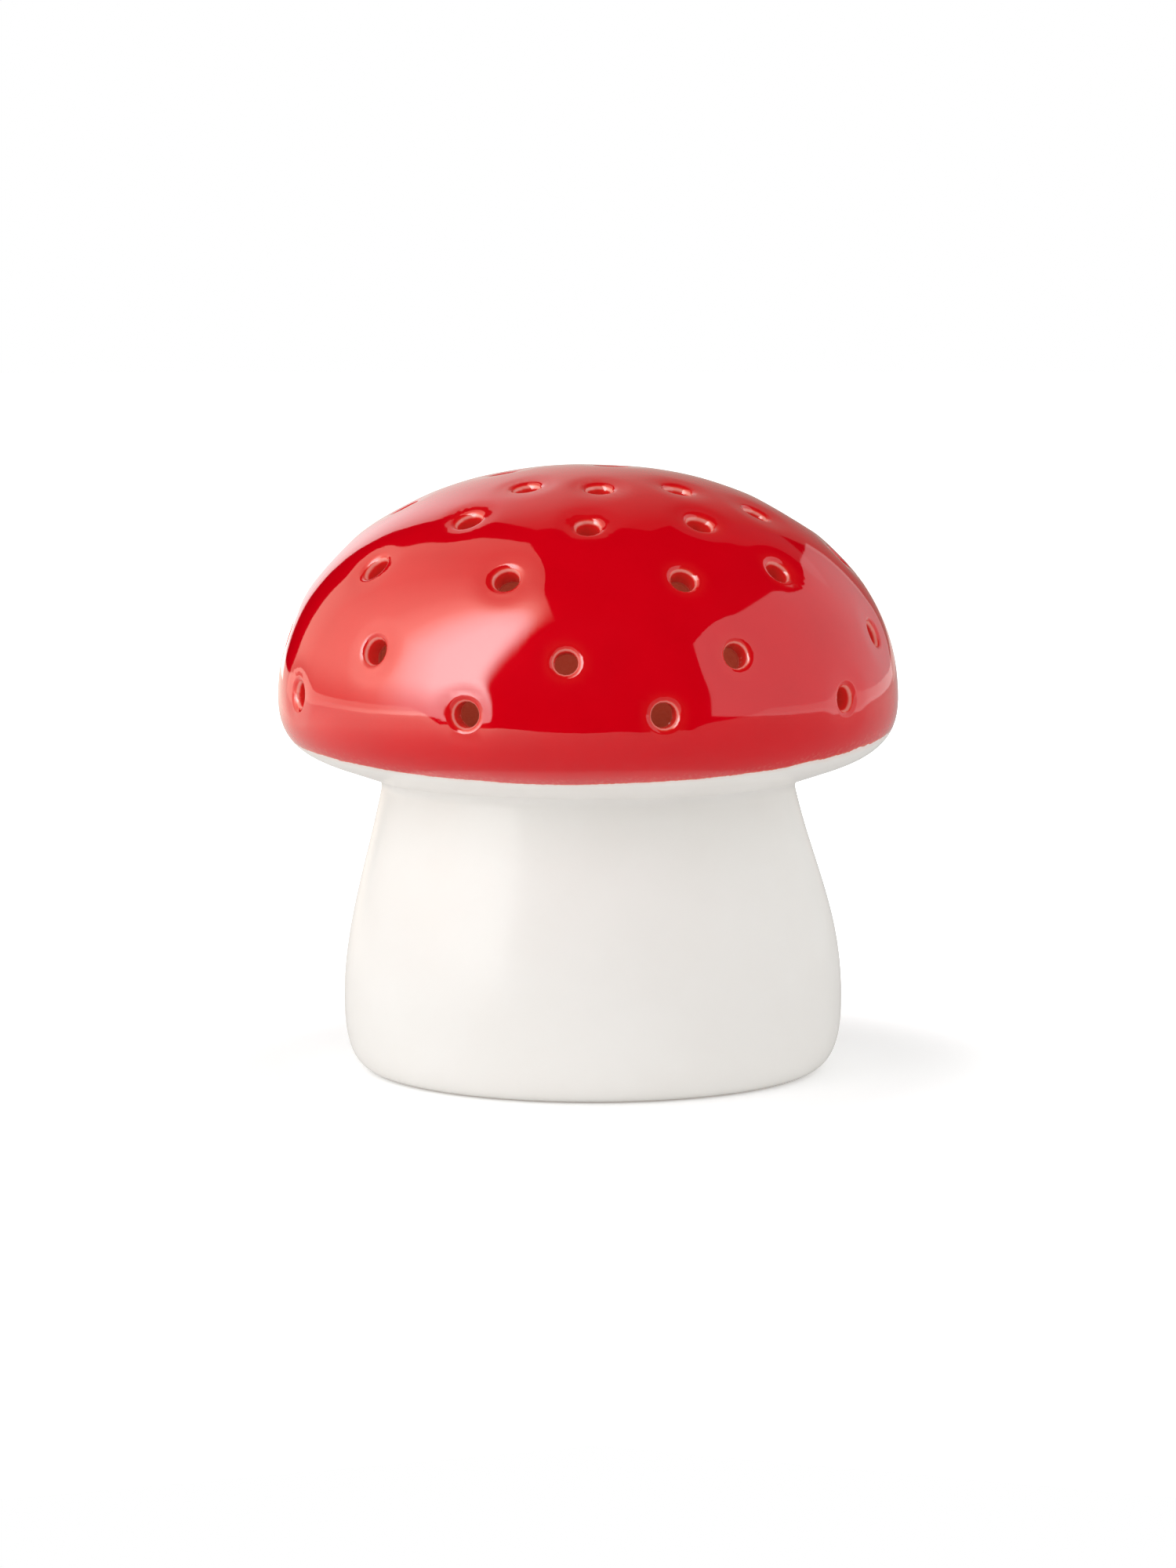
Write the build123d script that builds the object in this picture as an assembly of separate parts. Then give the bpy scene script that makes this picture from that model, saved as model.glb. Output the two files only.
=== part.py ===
from build123d import *
import math
import os

os.makedirs("parts", exist_ok=True)

# Battery mushroom light: a pierced cap luted to a hollow stem, with a pull-out light module in its foot.
# Lengths are millimetres and angles degrees. The foot stands on Z = 0 and the front faces -Y.

# Ceramic cap and stem, outer form
cap_radius = 50.0
overall_height = 97.5
rim_height = 60.2
dome_fullness = 0.58
lip_radius = 40.4
lip_height = 49.2
lip_fullness = 0.60
underside_slope = 18.4
neck_radius = 33.15
neck_fillet = 1.2
stem_flare = 0.20
stem_fullness = 0.37
belly_radius = 40.35
belly_height = 11.8
foot_fullness = 0.69
foot_ring_width = 3.0
mould_line_angle = 77.0

# Ceramic cap and stem, inside
wall = 4.0
luting_drop = 2.0
luting_margin = 1.05
floor_thickness = 4.0
floor_corner_fullness = 0.55
recess_depth = 3.0
seat_ledge = 1.9

# Light holes: for each ring, the share of the way down the dome curve, then for each hole
# its angle from the front towards +X and how far it strays up the cap
hole_radius = 1.95
hole_rounding = 1.3
hole_overshoot = 2.0
punch_seam_angle = 45.0
rim_holes = [
    (-66, 0.2), (-22, -0.7), (13.5, -0.6), (53.5, 0.4), (93, 0.2),
    (133, -0.4), (172, 0.5), (-148, -0.3), (-106, 0.3),
]
low_holes = [
    (-43, 0.3), (-4, -0.5), (28, 0.2), (71, 1.7), (106, 0.4),
    (146, -0.5), (-174, 0.4), (-130, -0.2), (-86, 0.6),
]
middle_holes = [
    (-54.5, 0.8), (-17.5, -0.4), (20.5, -0.5), (46, 0.4), (86, 1.5),
    (124, 0.4), (160, -0.6), (-164, 0.5), (-127, 0.0), (-90, 0.3),
]
high_holes = [
    (-87, 2.7), (-36.5, 0.7), (0, -0.7), (33, -0.1), (61.5, 1.9),
    (91, 0.0), (126, -0.6), (162, 0.7), (-162, 0.0), (-127, 1.0),
]
upper_holes = [
    (-29, 0.5), (5, 0.1), (41.5, -1.0), (105, -1.6), (145, -0.4), (-175, 0.6), (-135, 0.0),
]
crown_holes = [(-85, -3.0), (80, 6.4), (150, -1.5)]
hole_rings = [
    (0.974, rim_holes),
    (0.843, low_holes),
    (0.617, middle_holes),
    (0.430, high_holes),
    (0.256, upper_holes),
    (0.125, crown_holes),
]

# Cells
cell_radius = 5.25
cell_length = 44.5
cell_gap = 0.3
cell_edge = 0.5
nub_radius = 1.9
nub_length = 0.8

# Battery bay and module housing
bay_side_clearance = 0.15
cell_float = 0.4
contact_room = 1.95
bay_wall = 1.4
bay_corner_wall = 1.9
roof_thickness = 1.2
barrel_wall = 1.4
barrel_rise = 2.0
plate_thickness = 3.1
flange_thickness = 1.5
flange_clearance = 0.3

# Retaining gasket
gasket_thickness = 1.0
gasket_height = 4.0
gasket_inner_gap = 0.05
gasket_outer_gap = 0.15

# Battery door and its hinge
door_thickness = 1.6
door_lap_side = 1.4
door_lap_end = 1.0
door_corner = 2.5
door_gap = 0.3
door_seat_gap = 0.15
hinge_reach = 3.0
hinge_half_width = 8.0
hinge_pin_radius = 0.7
hinge_pin_length = 1.3
hinge_clearance = 0.1
hinge_snap_width = 1.0
rib_width = 1.2
rib_height = 1.7
rib_end_margin = 4.0

# Door screw, its washer and its lug
screw_radius = 1.0
screw_length = 5.8
screw_tip = 1.0
screw_head_radius = 1.9
screw_head_height = 1.0
screw_hole_clearance = 0.2
screw_swing_clearance = 0.2
screw_end_gap = 0.95
cross_width = 0.5
cross_length = 2.4
cross_depth = 0.6
washer_radius = 2.0
washer_thickness = 0.4
washer_bore_clearance = 0.1
head_sink = 0.2
head_clearance = 0.3
lug_reach = 5.3
lug_radius = 4.5
lug_thickness = 3.0
lug_boss_wall = 1.2

# Contacts
contact_thickness = 0.4
contact_gap = 2.8
contact_margin = 0.6
button_base_radius = 2.6
button_tip_radius = 1.5
leaf_width = 5.0
leaf_crest = 1.0
leaf_free_gap = 0.35
tail_width = 2.0
tail_clearance = 0.15
tail_stand = 0.8

# Circuit board and what is on it
board_thickness = 1.6
board_clearance = 0.6
board_screw_angle = 45.0
board_screw_radius = 0.9
board_screw_length = 7.0
board_screw_head_radius = 1.9
board_screw_head_height = 1.2
board_hole_clearance = 0.3
thread_clearance = 0.05
post_radius = 2.6
board_head_gap = 0.3
led_size = 5.0
led_height = 1.6
led_pitch = 12.0
led_cup_radius = 1.9
led_cup_depth = 0.7
phosphor_gap = 0.03
phosphor_depth = 0.6
chip_length = 4.9
chip_width = 3.9
chip_height = 1.5
chip_lift = 0.1
chip_offset = 16.0
chip_leg_pitch = 1.27
chip_leg_width = 0.42
chip_leg_reach = 1.05
chip_leg_thickness = 0.2
chip_leg_rise = 0.75
resistor_length = 3.2
resistor_width = 1.6
resistor_height = 0.6
resistor_offset = 7.0

# Slide switch
switch_offset = 7.8
switch_length = 8.6
switch_width = 4.4
switch_height = 4.7
switch_travel = 3.0
slider_width = 2.0
slider_length = 2.4
slider_gap = 0.3
shoe_width = 3.0
shoe_height = 1.2
shoe_gap = 0.2
switch_lip = 1.3
slider_stand = 0.9
grip_groove = 0.3

# Diffuser dome
diffuser_wall = 1.2
diffuser_rim_height = 1.2
diffuser_dome_height = 10.5
diffuser_fullness = 0.55
diffuser_inset = 1.4
spigot_gap = 0.1
spigot_board_gap = 0.5

# Heights and radii that follow from the sizes above
base_z = recess_depth - flange_thickness
door_top = base_z + door_thickness
door_ceiling = door_top + door_seat_gap
plate_top = base_z + plate_thickness
cell_z = door_top + cell_float + cell_radius
bay_top = cell_z + cell_radius + cell_float
roof_top = bay_top + roof_thickness
board_top = roof_top + board_thickness
barrel_top = board_top + barrel_rise
floor_top = recess_depth + floor_thickness

cell_x = cell_gap / 2 + cell_radius
cell_end = cell_length / 2
contact_width = 2 * cell_x - contact_gap
bay_half_x = cell_x + cell_radius + bay_side_clearance
bay_half_y = cell_end + contact_room
barrel_radius = math.hypot(bay_half_x, bay_half_y) + bay_corner_wall
barrel_inner = barrel_radius - barrel_wall
mouth_radius = barrel_radius + gasket_inner_gap + gasket_thickness + gasket_outer_gap
recess_radius = mouth_radius + seat_ledge
flange_radius = recess_radius - flange_clearance
foot_radius = recess_radius + foot_ring_width
board_radius = barrel_inner - board_clearance

door_half_x = bay_half_x + door_lap_side
door_half_y = bay_half_y + door_lap_end
hinge_x = -(door_half_x + hinge_reach)
hinge_z = base_z + door_thickness / 2
hinge_round = door_thickness / 2
pin_end = hinge_half_width + door_gap + hinge_pin_length
lug_x = door_half_x + lug_reach
lug_ceiling = base_z + lug_thickness + door_seat_gap
head_pocket = head_sink + screw_head_height + washer_thickness
washer_top = base_z + head_pocket
head_top = washer_top - washer_thickness
head_room = max(washer_radius, screw_head_radius) + head_clearance
screw_end = head_top + screw_length
lug_boss_top = screw_end + screw_end_gap + lug_boss_wall
screw_swing = math.hypot(lug_x - hinge_x, screw_end - hinge_z) - (lug_x - hinge_x)
switch_x = -(door_half_x + switch_offset)
slot_half_y = (slider_length + switch_travel) / 2 + slider_gap
slider_y = -switch_travel / 2
spigot_radius = barrel_inner - spigot_gap
spigot_inner = spigot_radius - diffuser_wall
spigot_depth = barrel_rise - spigot_board_gap
post_ring = spigot_inner - board_screw_head_radius - board_head_gap
post_places = [
    (post_ring * math.cos(math.radians(angle)), post_ring * math.sin(math.radians(angle)))
    for angle in (board_screw_angle, board_screw_angle + 180)
]
slope_rise = math.tan(math.radians(underside_slope))
neck_height = lip_height - (lip_radius - neck_radius) * slope_rise
luting_height = neck_height - luting_drop
luting_radius = neck_radius + luting_margin
luting_top = lip_height + 2 * wall


def disc(radius, low, high, x=0.0, y=0.0):
    """Upright round bar between two heights."""
    return Pos(x, y, (low + high) / 2) * Cylinder(radius, high - low)


def block(x_low, x_high, y_low, y_high, z_low, z_high):
    """Rectangular block between its two corners."""
    centre = Pos((x_low + x_high) / 2, (y_low + y_high) / 2, (z_low + z_high) / 2)
    return centre * Box(x_high - x_low, y_high - y_low, z_high - z_low)


def cross_bar(radius, y_low, y_high, x, z):
    """Round bar that lies along Y."""
    return Pos(x, (y_low + y_high) / 2, z) * Rot(90, 0, 0) * Cylinder(radius, y_high - y_low)


def section_point(radius, height):
    """Point of a turned section, at a radius and a height."""
    return (radius, 0, height)


def turned(edges):
    """Solid of revolution about Z from the edges of a closed half section."""
    return revolve(make_face(edges), Axis.Z)


def curve(*points):
    """Bezier stretch of a turned section."""
    return Bezier(*[section_point(*point) for point in points])


def straights(*points):
    """Straight stretches of a turned section."""
    return Polyline(*[section_point(*point) for point in points]).edges()


def dome_curve(radius, top, rim):
    """Dome from its crown to its widest line, bulged by the fullness."""
    handle = top - (top - rim) * (1 - dome_fullness)
    return [(0, top), (radius * dome_fullness, top), (radius, handle), (radius, rim)]


def lip_curve(radius, rim, inner_radius, inner_height):
    """Rolled lip from the widest line to the straight underside."""
    reach = lip_fullness * (radius - inner_radius)
    drop = lip_fullness * (rim - inner_height)
    return [
        (radius, rim),
        (radius, rim - drop),
        (inner_radius + reach, inner_height + reach * slope_rise),
        (inner_radius, inner_height),
    ]


def stem_curve(top_radius, top, low_radius, low):
    """Stem from the crease under the cap, flaring down to the belly."""
    drop = stem_fullness * (top - low)
    return [
        (top_radius, top),
        (top_radius + stem_flare * drop, top - drop),
        (low_radius, low + drop),
        (low_radius, low),
    ]


def dome_place(share, lift):
    """Radius, height and outward normal at a share of the dome curve, moved up the cap by a lift."""
    points = dome_curve(cap_radius, overall_height, rim_height)

    def at(t):
        weights = ((1 - t) ** 3, 3 * t * (1 - t) ** 2, 3 * t * t * (1 - t), t ** 3)
        return [sum(w * p[axis] for w, p in zip(weights, points)) for axis in (0, 1)]

    def slope(t):
        weights = (3 * (1 - t) ** 2, 6 * t * (1 - t), 3 * t * t)
        steps = [(b[0] - a[0], b[1] - a[1]) for a, b in zip(points, points[1:])]
        return [sum(w * s[axis] for w, s in zip(weights, steps)) for axis in (0, 1)]

    along = slope(share)
    moved = share - lift / math.hypot(*along)
    run, fall = slope(moved)
    length = math.hypot(run, fall)
    return at(moved), (-fall / length, run / length)


def hole_cutter():
    """Punch with a trumpet mouth, standing on the outer skin with its axis outwards."""
    mouth = hole_radius + hole_rounding
    sink = mouth ** 2 / (2 * cap_radius)
    depth = wall + hole_overshoot
    bend = Plane.XZ.location * CenterArc((mouth, -sink - hole_rounding), hole_rounding, 90, 90)
    sides = straights(
        (mouth, -sink),
        (mouth, hole_overshoot),
        (0, hole_overshoot),
        (0, -depth),
        (hole_radius, -depth),
        (hole_radius, -sink - hole_rounding),
    )
    return turned([bend, *sides])


def light_holes():
    """Every punch in its place over the cap, its seam turned clear of the cap's own lines."""
    punch = Rot(0, 0, punch_seam_angle) * hole_cutter()
    cutters = []
    for share, holes in hole_rings:
        for angle, lift in holes:
            (radius, height), (out, up) = dome_place(share, lift)
            east = math.sin(math.radians(angle))
            south = -math.cos(math.radians(angle))
            place = Plane(
                origin=(radius * east, radius * south, height),
                z_dir=(out * east, out * south, up),
            )
            cutters.append(place * punch)
    return cutters


def ceramic_shell():
    """Hollow cap and stem in one, with the module's mouth in the floor and no light holes yet."""
    inner_cap = cap_radius - wall
    inner_lip = lip_radius - wall * math.sin(math.radians(underside_slope))
    inner_lip_height = lip_height + wall * math.cos(math.radians(underside_slope))
    inner_neck = neck_radius - wall
    inner_neck_height = inner_lip_height - (inner_lip - inner_neck) * slope_rise
    inner_belly = belly_radius - wall
    floor_edge = (mouth_radius + inner_belly) / 2
    corner_run = floor_corner_fullness * (inner_belly - floor_edge)
    corner_rise = floor_corner_fullness * (belly_height - floor_top)

    dome = curve(*dome_curve(cap_radius, overall_height, rim_height))
    lip = curve(*lip_curve(cap_radius, rim_height, lip_radius, lip_height))
    underside = straights((lip_radius, lip_height), (neck_radius, neck_height))
    stem = curve(*stem_curve(neck_radius, neck_height, belly_radius, belly_height))
    foot = curve(
        (belly_radius, belly_height),
        (belly_radius, belly_height * (1 - foot_fullness)),
        (foot_radius + (belly_radius - foot_radius) * foot_fullness, 0),
        (foot_radius, 0),
    )
    base = straights(
        (foot_radius, 0),
        (recess_radius, 0),
        (recess_radius, recess_depth),
        (mouth_radius, recess_depth),
        (mouth_radius, floor_top),
        (floor_edge, floor_top),
    )
    inner_corner = curve(
        (floor_edge, floor_top),
        (floor_edge + corner_run, floor_top),
        (inner_belly, belly_height - corner_rise),
        (inner_belly, belly_height),
    )
    inner_stem = curve(*stem_curve(inner_neck, inner_neck_height, inner_belly, belly_height))
    inner_underside = straights((inner_neck, inner_neck_height), (inner_lip, inner_lip_height))
    inner_roll = curve(*lip_curve(inner_cap, rim_height, inner_lip, inner_lip_height))
    inner_dome = curve(*dome_curve(inner_cap, overall_height - wall, rim_height))
    crown = straights((0, overall_height - wall), (0, overall_height))
    shell = turned([
        dome, lip, *underside, stem, foot, *base, inner_corner,
        inner_stem, *inner_underside, inner_roll, inner_dome, *crown,
    ])
    crease = [
        edge for edge in shell.edges().filter_by(GeomType.CIRCLE)
        if abs(edge.radius - neck_radius) < 0.01 and abs(edge.arc_center.Z - neck_height) < 0.01
    ]
    return Rot(0, 0, mould_line_angle - 90) * fillet(crease, neck_fillet)


def inside_luting():
    """Everything inside the seam where the stem is let into the cap's underside and luted."""
    return disc(cap_radius, 0, luting_height) + disc(luting_radius, 0, luting_top)


def make_ceramic_cap():
    """Pierced cap with its rolled lip and the ring of underside around the stem."""
    return ceramic_shell() - inside_luting() - light_holes()


def make_ceramic_stem():
    """Hollow stem with its belly, floor and foot ring, and the neck that fills the cap's opening."""
    return ceramic_shell() & inside_luting()


def make_retaining_gasket():
    """Silicone sleeve on the barrel, standing on the flange."""
    inner = barrel_radius + gasket_inner_gap
    top = recess_depth + gasket_height
    return disc(inner + gasket_thickness, recess_depth, top) - disc(inner, recess_depth, top)


def door_outline(margin, tab_end):
    """Plan of the door grown by a margin: panel, hinge tab and screw lug."""
    half_tab = hinge_half_width + margin
    half_lug = lug_radius + margin
    panel = RectangleRounded(2 * (door_half_x + margin), 2 * (door_half_y + margin), door_corner)
    tab = Pos(tab_end / 2, 0) * Rectangle(-tab_end, 2 * half_tab)
    neck = Pos(lug_x / 2, 0) * Rectangle(lug_x, 2 * half_lug)
    return panel + tab + neck + Pos(lug_x, 0) * Circle(half_lug)


def slab(outline, low, high):
    """Plan raised between two heights."""
    return extrude(Pos(0, 0, low) * outline, high - low)


def contact_slots(low, high):
    """Slots for the two contact tails, through a plate between two heights."""
    half = tail_width / 2 + tail_clearance
    inside = bay_half_y - contact_thickness - tail_clearance
    return [block(x - half, x + half, inside, bay_half_y, low, high) for x in (-cell_x, cell_x)]


def slider_slot(low, high):
    """Slot that the switch's actuator slides in, between two heights."""
    half_x = slider_width / 2 + slider_gap
    return block(switch_x - half_x, switch_x + half_x, -slot_half_y, slot_half_y, low, high)


def make_module_housing():
    """Moulded base: flange, barrel, battery bay, door recess, screw bosses and switch slot."""
    bay_x = bay_half_x + bay_wall
    bay_y = bay_half_y + bay_wall
    housing = disc(flange_radius, base_z, recess_depth)
    housing += disc(barrel_radius, base_z, barrel_top) - disc(barrel_inner, plate_top, barrel_top)
    housing += block(-bay_x, bay_x, -bay_y, bay_y, base_z, roof_top) & disc(barrel_radius, base_z, roof_top)
    housing += disc(lug_radius + door_gap + lug_boss_wall, base_z, lug_boss_top, lug_x)
    for x, y in post_places:
        housing += disc(post_radius, base_z, roof_top, x, y)
    housing -= block(-bay_half_x, bay_half_x, -bay_half_y, bay_half_y, base_z, bay_top)
    recess_end = hinge_x - hinge_round - door_gap
    housing -= slab(door_outline(door_gap, recess_end), base_z, door_ceiling)
    housing -= disc(lug_radius + door_gap, base_z, lug_ceiling, lug_x)
    pilot = screw_radius + screw_swing + screw_swing_clearance
    housing -= disc(pilot, lug_ceiling, lug_boss_top - lug_boss_wall, lug_x)
    socket_end = pin_end + hinge_clearance
    housing -= cross_bar(hinge_pin_radius + hinge_clearance, -socket_end, socket_end, hinge_x, hinge_z)
    half_snap = hinge_snap_width / 2
    housing -= block(hinge_x - half_snap, hinge_x + half_snap, -socket_end, socket_end, base_z, hinge_z)
    housing -= slider_slot(base_z, plate_top)
    housing -= contact_slots(bay_top, roof_top)
    for x, y in post_places:
        drill = roof_top + board_thickness - board_screw_length - board_hole_clearance
        housing -= disc(board_screw_radius + thread_clearance, drill, roof_top, x, y)
    return housing


def make_battery_door():
    """Door panel with hinge pins on one edge, an inner rib and a screw lug on the other."""
    door = slab(door_outline(0, hinge_x), base_z, door_top)
    door += cross_bar(hinge_round, -hinge_half_width, hinge_half_width, hinge_x, hinge_z)
    door += cross_bar(hinge_pin_radius, -pin_end, pin_end, hinge_x, hinge_z)
    rib_y = bay_half_y - rib_end_margin
    door += block(-rib_width / 2, rib_width / 2, -rib_y, rib_y, door_top, door_top + rib_height)
    lug_top = base_z + lug_thickness
    door += disc(lug_radius, base_z, lug_top, lug_x)
    door -= disc(head_room, base_z, washer_top, lug_x)
    door -= disc(screw_radius + screw_hole_clearance, washer_top, lug_top, lug_x)
    return door


def make_screw_washer():
    """Washer between the screw's head and the lug."""
    bore = disc(screw_radius + washer_bore_clearance, head_top, washer_top, lug_x)
    return disc(washer_radius, head_top, washer_top, lug_x) - bore


def make_door_screw():
    """Cross-head screw, its point upwards in the housing's boss."""
    bottom = head_top - screw_head_height
    shank_top = screw_end - screw_tip
    screw = disc(screw_head_radius, bottom, head_top, lug_x)
    screw += disc(screw_radius, head_top, shank_top, lug_x)
    screw += Pos(lug_x, 0, shank_top + screw_tip / 2) * Cone(screw_radius, screw_radius / 2, screw_tip)
    half_long = cross_length / 2
    half_wide = cross_width / 2
    pocket = bottom + cross_depth
    screw -= block(lug_x - half_long, lug_x + half_long, -half_wide, half_wide, bottom, pocket)
    screw -= block(lug_x - half_wide, lug_x + half_wide, -half_long, half_long, bottom, pocket)
    return screw


def make_cell(x, nub_side):
    """Cell along Y, with its nub towards the given side."""
    shoulder = cell_end - nub_length
    can = cross_bar(cell_radius, -cell_end, shoulder, 0, 0)
    can = fillet(can.edges().filter_by(GeomType.CIRCLE), cell_edge)
    cell = can + cross_bar(nub_radius, shoulder, cell_end, 0, 0)
    turn = 0 if nub_side > 0 else 180
    return Pos(x, 0, cell_z) * Rot(0, 0, turn) * cell


def contact_plate(x_low, x_high, side):
    """Flat contact against an end wall of the bay."""
    near = side * (bay_half_y - contact_thickness)
    far = side * bay_half_y
    low = cell_z - cell_radius + contact_margin
    high = bay_top - contact_margin
    return block(x_low, x_high, min(near, far), max(near, far), low, high)


def contact_button(x, side):
    """Raised button that meets a cell's nub."""
    height = bay_half_y - contact_thickness - cell_end
    cone = Cone(button_base_radius, button_tip_radius, height)
    return Pos(x, side * (cell_end + height / 2), cell_z) * Rot(90 * side, 0, 0) * cone


def contact_leaf(x, side):
    """Bowed spring leaf that meets a cell's flat end."""
    root = bay_half_y - contact_thickness / 2
    free = bay_half_y - contact_thickness - leaf_free_gap
    low = cell_z - cell_radius + contact_margin
    high = bay_top - contact_margin
    path = [
        (root, low),
        (cell_end, cell_z - leaf_crest),
        (cell_end, cell_z + leaf_crest),
        (free - contact_thickness, high),
        (free, high),
        (cell_end + contact_thickness, cell_z + leaf_crest),
        (cell_end + contact_thickness, cell_z - leaf_crest),
        (root, low + contact_thickness),
    ]
    points = [(x - leaf_width / 2, side * y, z) for y, z in path]
    return extrude(make_face(Polyline(*points, close=True)), leaf_width, dir=(1, 0, 0))


def contact_tail(x):
    """Solder tail from a contact up through the bay's roof and the board."""
    low = bay_top - contact_margin
    half = tail_width / 2
    return block(x - half, x + half, bay_half_y - contact_thickness, bay_half_y, low, board_top + tail_stand)


def make_positive_plate():
    """Button contact of the left cell, with its tail."""
    plate = contact_plate(-cell_x - contact_width / 2, -cell_x + contact_width / 2, 1)
    return plate + contact_button(-cell_x, 1) + contact_tail(-cell_x)


def make_negative_leaf():
    """Leaf contact of the right cell, with its tail."""
    plate = contact_plate(cell_x - contact_width / 2, cell_x + contact_width / 2, 1)
    return plate + contact_leaf(cell_x, 1) + contact_tail(cell_x)


def make_series_bridge():
    """Contact that joins the cells at the far end of the bay."""
    plate = contact_plate(-cell_x - contact_width / 2, cell_x + contact_width / 2, -1)
    return plate + contact_leaf(-cell_x, -1) + contact_button(cell_x, -1)


def make_circuit_board():
    """Round board on the bay's roof and the two posts."""
    board = disc(board_radius, roof_top, board_top)
    for x, y in post_places:
        board -= disc(board_screw_radius + board_hole_clearance, roof_top, board_top, x, y)
    half = tail_width / 2 + tail_clearance
    inside = bay_half_y - contact_thickness - tail_clearance
    outside = bay_half_y + tail_clearance
    for x in (-cell_x, cell_x):
        board -= block(x - half, x + half, inside, outside, roof_top, board_top)
    return board


def led_places():
    """Centres of the LED packages."""
    half = led_pitch / 2
    return [(x, y) for x in (-half, half) for y in (-half, half)]


def make_leds():
    """Square LED packages, each with a round cup."""
    top = board_top + led_height
    half = led_size / 2
    packages = []
    for x, y in led_places():
        package = block(x - half, x + half, y - half, y + half, board_top, top)
        packages.append(package - disc(led_cup_radius, top - led_cup_depth, top, x, y))
    return Compound(children=packages)


def make_led_phosphors():
    """Yellow fill in each LED's cup."""
    floor = board_top + led_height - led_cup_depth
    radius = led_cup_radius - phosphor_gap
    return Compound(children=[disc(radius, floor, floor + phosphor_depth, x, y) for x, y in led_places()])


def chip_leg(side, y):
    """Bent leg of the chip: out, down to the board and out again."""
    root = chip_width / 2
    elbow = root + chip_leg_reach / 2
    tip = root + chip_leg_reach
    top = board_top + chip_leg_rise
    foot = board_top + chip_leg_thickness
    spans = [
        (root, elbow + chip_leg_thickness, top - chip_leg_thickness, top),
        (elbow, elbow + chip_leg_thickness, board_top, top),
        (elbow, tip, board_top, foot),
    ]
    half = chip_leg_width / 2
    leg = Part() + [block(near, far, y - half, y + half, low, high) for near, far, low, high in spans]
    turn = 0 if side > 0 else 180
    return Pos(chip_offset, 0, 0) * Rot(0, 0, turn) * leg


def make_driver_chip():
    """Eight-legged chip that drives the LEDs."""
    low = board_top + chip_lift
    half_x = chip_width / 2
    half_y = chip_length / 2
    chip = block(chip_offset - half_x, chip_offset + half_x, -half_y, half_y, low, low + chip_height)
    for side in (-1, 1):
        for step in (-1.5, -0.5, 0.5, 1.5):
            chip += chip_leg(side, step * chip_leg_pitch)
    return chip


def make_resistors():
    """Two chip resistors beside the driver chip."""
    half_x = resistor_width / 2
    half_y = resistor_length / 2
    bodies = []
    for y in (-resistor_offset, resistor_offset):
        bodies.append(block(
            chip_offset - half_x, chip_offset + half_x, y - half_y, y + half_y,
            board_top, board_top + resistor_height,
        ))
    return Compound(children=bodies)


def make_board_screws():
    """Two pan-head screws through the board into the posts."""
    screws = []
    for x, y in post_places:
        head = disc(board_screw_head_radius, board_top, board_top + board_screw_head_height, x, y)
        half_long = cross_length / 2
        half_wide = cross_width / 2
        high = board_top + board_screw_head_height
        low = high - cross_depth
        head -= block(x - half_long, x + half_long, y - half_wide, y + half_wide, low, high)
        head -= block(x - half_wide, x + half_wide, y - half_long, y + half_long, low, high)
        screws.append(head + disc(board_screw_radius, board_top - board_screw_length, board_top, x, y))
    return Compound(children=screws)


def make_switch_body():
    """Slide switch under the board, with a channel that keeps the slider's shoe."""
    low = roof_top - switch_height
    half_x = switch_width / 2
    half_y = switch_length / 2
    body = block(switch_x - half_x, switch_x + half_x, -half_y, half_y, low, roof_top)
    half_shoe = shoe_width / 2 + shoe_gap
    shelf = low + switch_lip
    ceiling = shelf + shoe_height + 2 * shoe_gap
    body -= slider_slot(low, shelf)
    body -= block(switch_x - half_shoe, switch_x + half_shoe, -slot_half_y, slot_half_y, shelf, ceiling)
    return body


def make_switch_slider():
    """Long actuator from the switch down through the slot in the base, with a grooved grip."""
    shelf = roof_top - switch_height + switch_lip
    low = base_z - slider_stand
    half_x = slider_width / 2
    half_y = slider_length / 2
    shoe_low = shelf + shoe_gap
    shoe_top = shoe_low + shoe_height
    slider = block(switch_x - half_x, switch_x + half_x, slider_y - half_y, slider_y + half_y, low, shoe_low)
    half_shoe = shoe_width / 2
    slider += block(
        switch_x - half_shoe, switch_x + half_shoe, slider_y - half_y, slider_y + half_y, shoe_low, shoe_top,
    )
    for step in (-1, 0, 1):
        middle = slider_y + step * slider_length / 4
        slider -= block(
            switch_x - half_x, switch_x + half_x, middle - grip_groove / 2, middle + grip_groove / 2,
            low, low + grip_groove,
        )
    return slider


def make_diffuser_dome():
    """Opal dome: spigot in the barrel, rim on its edge, dome over the LEDs."""
    rim_top = barrel_top + diffuser_rim_height
    dome_radius = barrel_radius - diffuser_inset
    crown = rim_top + diffuser_dome_height
    inner_crown = crown - diffuser_wall
    spigot_low = barrel_top - spigot_depth

    def cover(radius, top):
        handle = rim_top + diffuser_fullness * (top - rim_top)
        return curve((radius, rim_top), (radius, handle), (radius * diffuser_fullness, top), (0, top))

    sides = straights((0, crown), (0, inner_crown))
    skirt = straights(
        (spigot_inner, rim_top),
        (spigot_inner, spigot_low),
        (spigot_radius, spigot_low),
        (spigot_radius, barrel_top),
        (barrel_radius, barrel_top),
        (barrel_radius, rim_top),
        (dome_radius, rim_top),
    )
    return turned([cover(dome_radius, crown), *sides, cover(spigot_inner, inner_crown), *skirt])


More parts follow.
